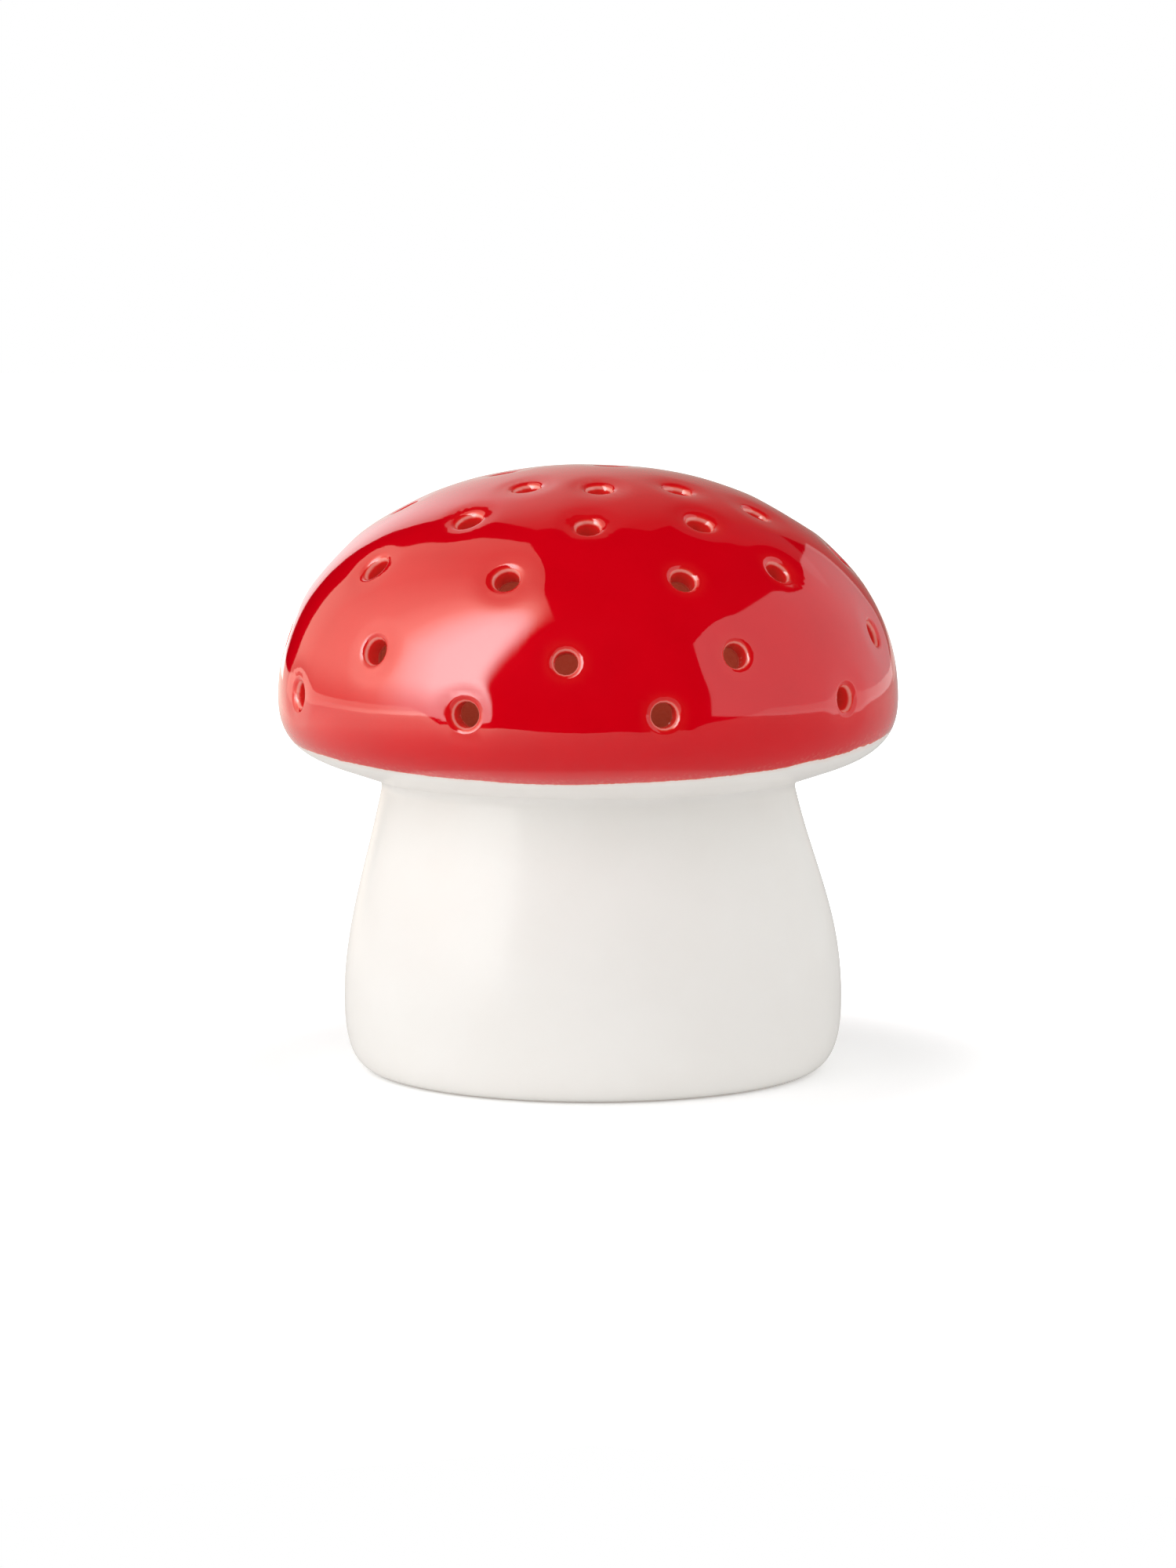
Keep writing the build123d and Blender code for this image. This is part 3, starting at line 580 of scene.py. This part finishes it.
def moulded_abs():
    """Injection-moulded ABS with a fine spark-eroded grain: off-white, dull, edges slightly rounded."""
    made, tree, shader = shaded("moulded_abs", {"IOR": 1.53})
    place = add(tree, "TexCoord").outputs["Object"]
    flow = add(tree, "TexNoise", {"Vector": place, "Scale": per_mm(14), "Detail": 2.0}).outputs["Fac"]
    tone = add(tree, "Mix", {0: flow, 6: colour("#E2DFD7"), 7: colour("#EAE7E0")},
               data_type="RGBA").outputs[2]
    tree.links.new(tone, shader.inputs["Base Color"])
    dull = add(tree, "MapRange", {"Value": flow, "To Min": 0.38, "To Max": 0.5}).outputs["Result"]
    tree.links.new(dull, shader.inputs["Roughness"])
    grain = add(tree, "TexNoise", {"Vector": place, "Scale": per_mm(0.4), "Detail": 1.0}).outputs["Fac"]
    corner = add(tree, "Bevel", {"Radius": 0.00025}).outputs["Normal"]
    skin = add(tree, "Bump", {"Height": grain, "Distance": 0.00003, "Strength": 0.5,
                              "Normal": corner}).outputs["Normal"]
    tree.links.new(skin, shader.inputs["Normal"])
    return made


def silicone_rubber():
    """Soft moulded silicone with powdery bloom: grey-white, matt, a little light passing into it."""
    made, tree, shader = shaded("silicone_rubber", {"IOR": 1.41, "Subsurface Weight": 0.2,
                                                    "Subsurface Scale": 0.001})
    place = add(tree, "TexCoord").outputs["Object"]
    bloom = add(tree, "TexNoise", {"Vector": place, "Scale": per_mm(2.5), "Detail": 3.0}).outputs["Fac"]
    tone = add(tree, "Mix", {0: bloom, 6: colour("#C9C6BF"), 7: colour("#DAD8D2")},
               data_type="RGBA").outputs[2]
    tree.links.new(tone, shader.inputs["Base Color"])
    matt = add(tree, "MapRange", {"Value": bloom, "To Min": 0.5, "To Max": 0.7}).outputs["Result"]
    tree.links.new(matt, shader.inputs["Roughness"])
    corner = add(tree, "Bevel", {"Radius": 0.0002}).outputs["Normal"]
    tree.links.new(corner, shader.inputs["Normal"])
    return made


def plated_steel(name, dark, light, smooth, worn):
    """Cold-formed steel with a bright plating: grey metal in uneven tints, drawn scratches, soft corners."""
    made, tree, shader = shaded(name, {"Metallic": 1.0})
    place = add(tree, "TexCoord").outputs["Object"]
    tint = add(tree, "TexNoise", {"Vector": place, "Scale": per_mm(1.8), "Detail": 3.0}).outputs["Fac"]
    tone = add(tree, "Mix", {0: tint, 6: colour(dark), 7: colour(light)}, data_type="RGBA").outputs[2]
    tree.links.new(tone, shader.inputs["Base Color"])
    sheen = add(tree, "MapRange", {"Value": tint, "To Min": smooth, "To Max": worn}).outputs["Result"]
    tree.links.new(sheen, shader.inputs["Roughness"])
    drawn = add(tree, "Mapping", {"Vector": place, "Scale": (1.0, 1.0, 0.08)}).outputs["Vector"]
    scratch = add(tree, "TexNoise", {"Vector": drawn, "Scale": per_mm(0.15), "Detail": 1.0}).outputs["Fac"]
    corner = add(tree, "Bevel", {"Radius": 0.0001}).outputs["Normal"]
    skin = add(tree, "Bump", {"Height": scratch, "Distance": 0.000008, "Strength": 0.4,
                              "Normal": corner}).outputs["Normal"]
    tree.links.new(skin, shader.inputs["Normal"])
    return made


def moulded_nylon():
    """Natural nylon, moulded: creamy and faintly see-through, with a waxy shine."""
    made, tree, shader = shaded("moulded_nylon", {"Roughness": 0.42, "Subsurface Weight": 0.3,
                                                  "Subsurface Scale": 0.0008})
    place = add(tree, "TexCoord").outputs["Object"]
    cloud = add(tree, "TexNoise", {"Vector": place, "Scale": per_mm(1.2), "Detail": 2.0}).outputs["Fac"]
    tone = add(tree, "Mix", {0: cloud, 6: colour("#E4DFCF"), 7: colour("#EEEADD")},
               data_type="RGBA").outputs[2]
    tree.links.new(tone, shader.inputs["Base Color"])
    return made


def sleeved_cell():
    """Steel can in a shrunk and printed PVC sleeve: dark body, copper-coloured band and pale ring near the
    nub, bare plated metal at both ends."""
    made, tree, shader = shaded("sleeved_cell", {})
    place = add(tree, "TexCoord").outputs["Object"]
    axes = add(tree, "SeparateXYZ", {0: place}).outputs
    side = add(tree, "Math", {0: axes["X"]}, operation="SIGN").outputs[0]
    along = add(tree, "Math", {0: axes["Y"], 1: side}, operation="MULTIPLY").outputs[0]
    towards = add(tree, "Math", {0: along, 1: cell_nub_turn}, operation="MULTIPLY").outputs[0]
    banded = add(tree, "Math", {0: towards, 1: band_start}, operation="GREATER_THAN").outputs[0]
    ringed = add(tree, "Math", {0: towards, 1: band_start, 2: ring_half}, operation="COMPARE").outputs[0]
    print_grain = add(tree, "TexNoise", {"Vector": place, "Scale": per_mm(0.5), "Detail": 2.0}).outputs["Fac"]
    dark = add(tree, "Mix", {0: print_grain, 6: colour("#232529"), 7: colour("#2D3035")},
               data_type="RGBA").outputs[2]
    copper = add(tree, "Mix", {0: print_grain, 6: colour("#A9622F"), 7: colour("#BC7540")},
                 data_type="RGBA").outputs[2]
    two = add(tree, "Mix", {0: banded, 6: dark, 7: copper}, data_type="RGBA").outputs[2]
    sleeve = add(tree, "Mix", {0: ringed, 6: two, 7: colour("#D9D6CE")}, data_type="RGBA").outputs[2]
    far = add(tree, "Math", {0: axes["Y"]}, operation="ABSOLUTE").outputs[0]
    metal = add(tree, "Math", {0: far, 1: sleeve_end}, operation="GREATER_THAN").outputs[0]
    tone = add(tree, "Mix", {0: metal, 6: sleeve, 7: colour("#C6C4BE")}, data_type="RGBA").outputs[2]
    tree.links.new(tone, shader.inputs["Base Color"])
    tree.links.new(metal, shader.inputs["Metallic"])
    shine = add(tree, "MapRange", {"Value": print_grain, "To Min": 0.22, "To Max": 0.36}).outputs["Result"]
    tree.links.new(shine, shader.inputs["Roughness"])
    return made


def board_laminate():
    """Glass-fibre board under white solder mask: copper tracks show as paler lines, the cut edge is tan."""
    made, tree, shader = shaded("board_laminate", {"Roughness": 0.32})
    place = add(tree, "TexCoord").outputs["Object"]
    tracks = add(tree, "TexBrick", {"Vector": place, "Scale": per_mm(10), "Mortar Size": 0.03,
                                    "Color1": colour("#DCE3DC"), "Color2": colour("#D5DDD6"),
                                    "Mortar": colour("#F1F4EE")}).outputs["Color"]
    flat = add(tree, "VectorMath", {0: place, 1: (1.0, 1.0, 0.0)}, operation="MULTIPLY").outputs["Vector"]
    out = add(tree, "VectorMath", {0: flat}, operation="LENGTH").outputs["Value"]
    cut = add(tree, "Math", {0: out, 1: board_edge}, operation="GREATER_THAN").outputs[0]
    tone = add(tree, "Mix", {0: cut, 6: tracks, 7: colour("#B8A06A")}, data_type="RGBA").outputs[2]
    tree.links.new(tone, shader.inputs["Base Color"])
    return made


def tinned_part(name, body, smooth, worn, ends):
    """Small moulded or fired part with tinned ends: the tin is told from the body by its place."""
    made, tree, shader = shaded(name, {})
    place = add(tree, "TexCoord").outputs["Object"]
    axes = add(tree, "SeparateXYZ", {0: place}).outputs
    axis, mirrored, centre, half = ends
    value = axes[axis]
    if mirrored:
        value = add(tree, "Math", {0: value}, operation="ABSOLUTE").outputs[0]
    apart = add(tree, "Math", {0: value, 1: centre}, operation="SUBTRACT").outputs[0]
    far = add(tree, "Math", {0: apart}, operation="ABSOLUTE").outputs[0]
    metal = add(tree, "Math", {0: far, 1: half}, operation="GREATER_THAN").outputs[0]
    grain = add(tree, "TexNoise", {"Vector": place, "Scale": per_mm(0.2), "Detail": 2.0}).outputs["Fac"]
    tone = add(tree, "Mix", {0: metal, 6: colour(body), 7: colour("#CBC9C2")}, data_type="RGBA").outputs[2]
    tree.links.new(tone, shader.inputs["Base Color"])
    tree.links.new(metal, shader.inputs["Metallic"])
    rough = add(tree, "MapRange", {"Value": grain, "To Min": smooth, "To Max": worn}).outputs["Result"]
    tree.links.new(rough, shader.inputs["Roughness"])
    return made


def led_package():
    """White moulded LED body: bright, slightly chalky."""
    made, tree, shader = shaded("led_package", {"Roughness": 0.5})
    place = add(tree, "TexCoord").outputs["Object"]
    chalk = add(tree, "TexNoise", {"Vector": place, "Scale": per_mm(0.4), "Detail": 2.0}).outputs["Fac"]
    tone = add(tree, "Mix", {0: chalk, 6: colour("#ECE9DE"), 7: colour("#F4F2EA")},
               data_type="RGBA").outputs[2]
    tree.links.new(tone, shader.inputs["Base Color"])
    return made


def phosphor_fill():
    """Yellow phosphor powder cast in clear silicone: speckled, with a wet shine."""
    made, tree, shader = shaded("phosphor_fill", {"Roughness": 0.12})
    place = add(tree, "TexCoord").outputs["Object"]
    powder = add(tree, "TexNoise", {"Vector": place, "Scale": per_mm(0.15), "Detail": 2.0}).outputs["Fac"]
    tone = add(tree, "Mix", {0: powder, 6: colour("#D9AE22"), 7: colour("#F0D25A")},
               data_type="RGBA").outputs[2]
    tree.links.new(tone, shader.inputs["Base Color"])
    return made


def slider_acetal():
    """Black acetal, moulded: dense and a little slippery to the eye."""
    made, tree, shader = shaded("slider_acetal", {"IOR": 1.48})
    place = add(tree, "TexCoord").outputs["Object"]
    rub = add(tree, "TexNoise", {"Vector": place, "Scale": per_mm(0.7), "Detail": 3.0}).outputs["Fac"]
    tone = add(tree, "Mix", {0: rub, 6: colour("#17181A"), 7: colour("#242528")}, data_type="RGBA").outputs[2]
    tree.links.new(tone, shader.inputs["Base Color"])
    polish = add(tree, "MapRange", {"Value": rub, "To Min": 0.28, "To Max": 0.42}).outputs["Result"]
    tree.links.new(polish, shader.inputs["Roughness"])
    corner = add(tree, "Bevel", {"Radius": 0.00015}).outputs["Normal"]
    tree.links.new(corner, shader.inputs["Normal"])
    return made


def opal_diffuser():
    """Opal acrylic, moulded satin: milky white that takes light in and spreads it."""
    made, tree, shader = shaded("opal_diffuser", {"Subsurface Weight": 0.6, "Subsurface Scale": 0.003,
                                                  "Coat Weight": 0.15})
    place = add(tree, "TexCoord").outputs["Object"]
    milk = add(tree, "TexNoise", {"Vector": place, "Scale": per_mm(9), "Detail": 2.0}).outputs["Fac"]
    tone = add(tree, "Mix", {0: milk, 6: colour("#EFEDE6"), 7: colour("#F5F3EE")},
               data_type="RGBA").outputs[2]
    tree.links.new(tone, shader.inputs["Base Color"])
    satin = add(tree, "MapRange", {"Value": milk, "To Min": 0.3, "To Max": 0.4}).outputs["Result"]
    tree.links.new(satin, shader.inputs["Roughness"])
    return made


def dress(finish, *names):
    """Give nodes of the frame a better material."""
    for name in names:
        bpy.data.objects[name].data.materials.clear()
        bpy.data.objects[name].data.materials.append(finish)


piece("glazed_mushroom", make_ceramic(), "ceramic", "glaze", glazed_earthenware(),
      "ceramic_cap", "ceramic_stem")
shell_plastic = moulded_abs()
dress(shell_plastic, "module_housing", "battery_door")
piece("switch_words", moulded_words(), "light_module", "housing_abs", shell_plastic).data.shade_flat()
dress(silicone_rubber(), "retaining_gasket")
dress(plated_steel("zinc_plated_steel", "#B9BEC6", "#CFCBBE", 0.2, 0.34), "door_screw", "board_screws")
dress(plated_steel("nickel_plated_steel", "#C2BDB0", "#D2CDC2", 0.16, 0.3),
      "positive_plate", "negative_leaf", "series_bridge")
dress(plated_steel("tinned_steel", "#B7B8B8", "#C9C9C6", 0.24, 0.4), "switch_body")
dress(moulded_nylon(), "screw_washer")
dress(sleeved_cell(), "battery_left", "battery_right")
dress(board_laminate(), "circuit_board")
dress(led_package(), "leds")
dress(phosphor_fill(), "led_phosphors")
dress(tinned_part("chip_epoxy", "#18191B", 0.47, 0.63, chip_body), "driver_chip")
dress(tinned_part("resistor_ceramic", "#1A1C22", 0.27, 0.43, resistor_body), "resistors")
dress(slider_acetal(), "switch_slider")
dress(opal_diffuser(), "diffuser_dome")


# Studio, in metres: a white sweep, panels that only the gloss mirrors, lamps that only light, dark front
floor_size = 12.0
floor_front, floor_flare = -0.24, 0.35
# How white the camera sees the floor, close to the object and further off, and where that changes
white_close, white_off, white_from, white_to = 0.27, 1.0, 0.05, 0.11
# Painted light on the floor that only the gloss mirrors: a painted pool of light under the left lamp, a left
# side painted pale with light, a right side painted dim
pool_place, pool_from, pool_to, pool_glow = (-0.8, -0.8, 0), 1.1, 0.45, 2.3
left_from, left_to, left_glow = -0.03, -0.25, 0.95
right_to, right_dim, right_glow = 0.5, 0.04, 0.24
# Painted glow that only diffuse rays see, in place of what the floor throws back up: into the recess under
# the object, and close to the object and further off
recess_reach, recess_painted_glow = 0.034, 0.4
painted_bounce_to, painted_bounce_close, painted_bounce_off = 0.06, 0.14, 0.13
sky_fill = 0.45
panels = [
    # name, centre, facing, width, height, brightest place, weight of a step up, tint of the dim part,
    # brightness at distances from the brightest place
    ("left_diffuser", (-0.8, -0.9, 1.8), (1, 0, 0), 3.7, 3.6, (-0.8, -0.8, 0.5), 0.36, (1.5, 1.0, 0.8),
     [(0.0, 12.2), (0.3, 11.4), (0.5, 8.6), (0.6, 6.4), (0.7, 4.3), (0.9, 2.6), (1.1, 1.9), (1.3, 1.4),
      (1.7, 1.1)]),
    ("right_reflector", (0.8, 0.465, 0.43), (-1, 0, 0), 2.57, 0.86, (0.8, -0.7, 0.4), 0.0, (1.0, 1.0, 1.0),
     [(0.0, 1.45), (2.4, 0.5)]),
    ("back_wall", (0.035, 1.2, 1.45), (0, -1, 0), 1.17, 2.9, (-0.42, 1.2, 0.4), 0.33, (1.15, 1.0, 0.88),
     [(0.0, 1.6), (0.1, 1.45), (0.22, 1.02), (0.37, 0.7), (0.52, 0.42), (0.67, 0.3), (1.1, 0.13)]),
    ("back_corner", (0.92, 1.2, 1.5), (0, -1, 0), 0.6, 1.28, (0.6, 1.2, 1.0), 0.0, (1.0, 1.0, 1.0),
     [(0.0, 0.14), (0.6, 0.12)]),
]
# The dim part of a panel takes its tint below a share of the peak, in full after a further run
tint_from, tint_run = 0.8, 0.5
# One panel leans: how far its bright ridge runs forward with height, where its front edge stands at the floor
# and how far that leans, how the edge blurs with height, and how its foot fades towards the floor
leaning_panel = "left_diffuser"
ridge_lean = 0.35
edge_place, edge_lean, edge_blur, edge_blur_rise = -0.86, 0.57, 0.04, 0.4
foot_share, foot_rise = 0.38, 0.26
lamps = [
    # name, place, target, width, height, brightness
    ("key_lamp", (-0.95, -0.25, 0.55), (0, 0, 0.05), 1.6, 1.4, 0.96),
    ("front_lamp", (-0.3, -0.95, 0.7), (0, 0, 0.05), 1.2, 1.0, 0.9),
    ("fill_lamp", (0.95, 0.05, 0.6), (0, 0, 0.05), 1.6, 1.2, 0.72),
]
# Camera: lens and sensor in millimetres, distance and height in metres, degrees that it looks down
camera_lens, camera_sensor = 98.4, 36.0
camera_distance, camera_height, camera_pitch = 0.6895, 0.1188, 6.04


def make_floor():
    """Plain pale floor that the camera sees as white, with the object's shadow; open when seen from below.
    The gloss sees it painted darker and with painted light on it, and diffuse rays get a painted glow near
    the object.
    """
    bm = bmesh.new()
    bmesh.ops.create_grid(bm, x_segments=2, y_segments=1, size=floor_size / 2)
    bmesh.ops.translate(bm, verts=bm.verts, vec=(0, floor_size / 2 + floor_front, 0))
    for v in bm.verts:
        v.co.y -= floor_flare * abs(v.co.x)
    mesh = bpy.data.meshes.new("studio_floor")
    bm.to_mesh(mesh)
    bm.free()
    made = bpy.data.objects.new("studio_floor", mesh)
    bpy.context.scene.collection.objects.link(made)
    finish, tree, shader = shaded("white_paper_sweep", {"Roughness": 0.9, "Specular IOR Level": 0.0})
    ray = add(tree, "LightPath").outputs
    seen = add(tree, "Math", {0: ray["Is Camera Ray"], 1: ray["Is Transmission Ray"]},
               operation="MAXIMUM").outputs[0]
    # The paper is painted darker where the gloss sees it: painted shade in its reflection
    paper_and_painted_shade = add(tree, "Mix", {0: ray["Is Glossy Ray"], 6: colour("#F0F0F0"), 7: colour("#C8C8C8")},
                data_type="RGBA").outputs[2]
    tree.links.new(paper_and_painted_shade, shader.inputs["Base Color"])
    place = add(tree, "TexCoord").outputs["Object"]
    away = add(tree, "VectorMath", {0: place}, operation="LENGTH").outputs["Value"]
    white = add(tree, "MapRange", {"Value": away, "From Min": white_from, "From Max": white_to,
                                   "To Min": white_close, "To Max": white_off},
                interpolation_type="SMOOTHSTEP").outputs["Result"]
    direct = add(tree, "Math", {0: seen, 1: white}, operation="MULTIPLY").outputs[0]
    # Painted light for the gloss only: a pool under the left lamp, a lit left side and a dim right side
    off_pool = add(tree, "VectorMath", {0: place, 1: pool_place}, operation="DISTANCE").outputs["Value"]
    painted_pool = add(tree, "MapRange", {"Value": off_pool, "From Min": pool_from, "From Max": pool_to,
                                  "To Max": pool_glow}).outputs["Result"]
    across = add(tree, "SeparateXYZ", {0: place}).outputs["X"]
    pale_and_painted_light = add(tree, "MapRange", {"Value": across, "From Min": left_from, "From Max": left_to,
                                  "To Max": left_glow}).outputs["Result"]
    left = add(tree, "Math", {0: painted_pool, 1: pale_and_painted_light}, operation="ADD").outputs[0]
    right = add(tree, "MapRange", {"Value": across, "From Max": right_to, "To Min": right_dim,
                                   "To Max": right_glow}).outputs["Result"]
    painted_sides = add(tree, "Math", {0: left, 1: right}, operation="ADD").outputs[0]
    mirrored = add(tree, "Math", {0: ray["Is Glossy Ray"], 1: painted_sides}, operation="MULTIPLY").outputs[0]
    seen_glow = add(tree, "Math", {0: direct, 1: mirrored}, operation="ADD").outputs[0]
    # Painted glow for diffuse rays only, under and close round the object
    sheltered = add(tree, "Math", {0: away, 1: recess_reach}, operation="LESS_THAN").outputs[0]
    spread = add(tree, "MapRange", {"Value": away, "From Min": recess_reach, "From Max": painted_bounce_to,
                                    "To Min": painted_bounce_close, "To Max": painted_bounce_off},
                 interpolation_type="SMOOTHSTEP").outputs["Result"]
    under = add(tree, "Math", {0: sheltered, 1: recess_painted_glow, 2: spread}, operation="MULTIPLY_ADD").outputs[0]
    painted_bounce = add(tree, "Math", {0: ray["Is Diffuse Ray"], 1: under}, operation="MULTIPLY").outputs[0]
    glow = add(tree, "Math", {0: seen_glow, 1: painted_bounce}, operation="ADD").outputs[0]
    # The painted light on the floor is warm where the gloss mirrors it
    warm = add(tree, "Mix", {0: ray["Is Glossy Ray"], 6: colour("#FFFFFF"), 7: colour("#FFE9D2")},
               data_type="RGBA").outputs[2]
    tree.links.new(warm, shader.inputs["Emission Color"])
    tree.links.new(glow, shader.inputs["Emission Strength"])
    below = add(tree, "NewGeometry").outputs["Backfacing"]
    clear = add(tree, "BsdfTransparent").outputs["BSDF"]
    either = add(tree, "MixShader", {0: below, 1: shader.outputs["BSDF"], 2: clear}).outputs["Shader"]
    tree.links.new(either, tree.nodes["Material Output"].inputs["Surface"])
    mesh.materials.append(finish)


def make_world():
    """White studio: the camera sees white all round, the object gets a low fill and hardly any reflection."""
    world = bpy.data.worlds.new("white_studio")
    bpy.context.scene.world = world
    world.use_nodes = True
    tree = world.node_tree
    ray = add(tree, "LightPath").outputs
    seen = add(tree, "Math", {0: ray["Is Camera Ray"], 1: ray["Is Transmission Ray"]},
               operation="MAXIMUM").outputs[0]
    fill = add(tree, "Math", {0: ray["Is Diffuse Ray"], 1: sky_fill}, operation="MULTIPLY").outputs[0]
    level = add(tree, "Math", {0: seen, 1: fill}, operation="MAXIMUM").outputs[0]
    tree.links.new(level, tree.nodes["Background"].inputs["Strength"])
    tree.nodes["Background"].inputs["Color"].default_value = colour("#FFFFFF")


def make_lamp(name, place, facing, width, height, brightness):
    """Soft rectangular lamp of an even brightness, which the camera itself doesn't see."""
    lamp = bpy.data.lights.new(name, "AREA")
    lamp.shape = "RECTANGLE"
    lamp.size = width
    lamp.size_y = height
    lamp.energy = brightness * math.pi * width * height
    made = bpy.data.objects.new(name, lamp)
    made.location = place
    made.rotation_euler = facing.to_track_quat("-Z", "Y").to_euler()
    made.visible_camera = False
    bpy.context.scene.collection.objects.link(made)
    return made


def lean_forward(tree, away):
    """The way from a panel's brightest place, taken from a ridge that runs forward with height."""
    above = add(tree, "SeparateXYZ", {0: away}).outputs["Z"]
    rise = add(tree, "Math", {0: above, 1: 0.0}, operation="MAXIMUM").outputs[0]
    forward = add(tree, "VectorMath", {0: (0, ridge_lean, 0), "Scale": rise},
                  operation="SCALE").outputs["Vector"]
    return add(tree, "VectorMath", {0: away, 1: forward}, operation="ADD").outputs["Vector"]


def fade_edges(tree, here):
    """Share of a panel's light that is left by its leaning front edge and by its foot."""
    height = add(tree, "SeparateXYZ", {0: here}).outputs["Z"]
    ahead = add(tree, "VectorMath", {0: here, 1: (0, 1, edge_lean)}, operation="DOT_PRODUCT").outputs["Value"]
    inside = add(tree, "Math", {0: ahead, 1: edge_place}, operation="SUBTRACT").outputs[0]
    blur = add(tree, "Math", {0: height, 1: edge_blur_rise, 2: edge_blur},
               operation="MULTIPLY_ADD").outputs[0]
    front = add(tree, "MapRange", {"Value": inside, "From Max": blur},
                interpolation_type="SMOOTHSTEP").outputs["Result"]
    foot = add(tree, "MapRange", {"Value": height, "From Max": foot_rise, "To Min": foot_share},
               interpolation_type="SMOOTHSTEP").outputs["Result"]
    return add(tree, "Math", {0: foot, 1: front}, operation="MULTIPLY").outputs[0]


def make_panel(name, place, facing, width, height, spot, climb, tint, fades):
    """Panel that only the gloss mirrors, brightest where a lamp stands behind it."""
    reach, peak = fades[-1][0], fades[0][1]
    made = make_lamp(name, place, Vector(facing), width, height, peak)
    made.visible_diffuse = False
    made.data.use_nodes = True
    tree = made.data.node_tree
    here = add(tree, "NewGeometry").outputs["Position"]
    away = add(tree, "VectorMath", {0: here, 1: spot}, operation="SUBTRACT").outputs["Vector"]
    if name == leaning_panel:
        away = lean_forward(tree, away)
        tree.links.new(fade_edges(tree, here), tree.nodes["Emission"].inputs["Strength"])
    weighed = add(tree, "VectorMath", {0: away, 1: (1, 1, climb)}, operation="MULTIPLY").outputs["Vector"]
    gap = add(tree, "VectorMath", {0: weighed}, operation="LENGTH").outputs["Value"]
    share = add(tree, "Math", {0: gap, 1: reach}, operation="DIVIDE").outputs[0]
    fade = add(tree, "ValToRGB", {0: share})
    stops = fade.color_ramp.elements
    stops[1].position = 1.0
    for distance, _ in fades[1:-1]:
        stops.new(distance / reach)
    for stop, (_, brightness) in zip(stops, fades):
        level = brightness / peak
        tinted = min(max((tint_from - level) / tint_run, 0.0), 1.0)
        stop.color = (*[level * (1 + tinted * (part - 1)) for part in tint], 1.0)
    tree.links.new(fade.outputs["Color"], tree.nodes["Emission"].inputs["Color"])


def make_lights():
    """Lamps that light the object, and the panels that its gloss mirrors."""
    for name, place, target, width, height, brightness in lamps:
        made = make_lamp(name, place, Vector(target) - Vector(place), width, height, brightness)
        made.visible_glossy = False
    for panel in panels:
        make_panel(*panel)


def make_camera():
    """Camera at the photograph's distance, height and angle."""
    lens = bpy.data.cameras.new("camera")
    lens.sensor_width = camera_sensor
    lens.lens = camera_lens
    made = bpy.data.objects.new("camera", lens)
    made.location = (-lean * 0.001, -camera_distance, camera_height)
    made.rotation_euler = (math.radians(90 - camera_pitch), 0, 0)
    bpy.context.scene.collection.objects.link(made)
    bpy.context.scene.camera = made


make_floor()
make_world()
make_lights()
make_camera()
bpy.context.scene.view_settings.view_transform = "Standard"
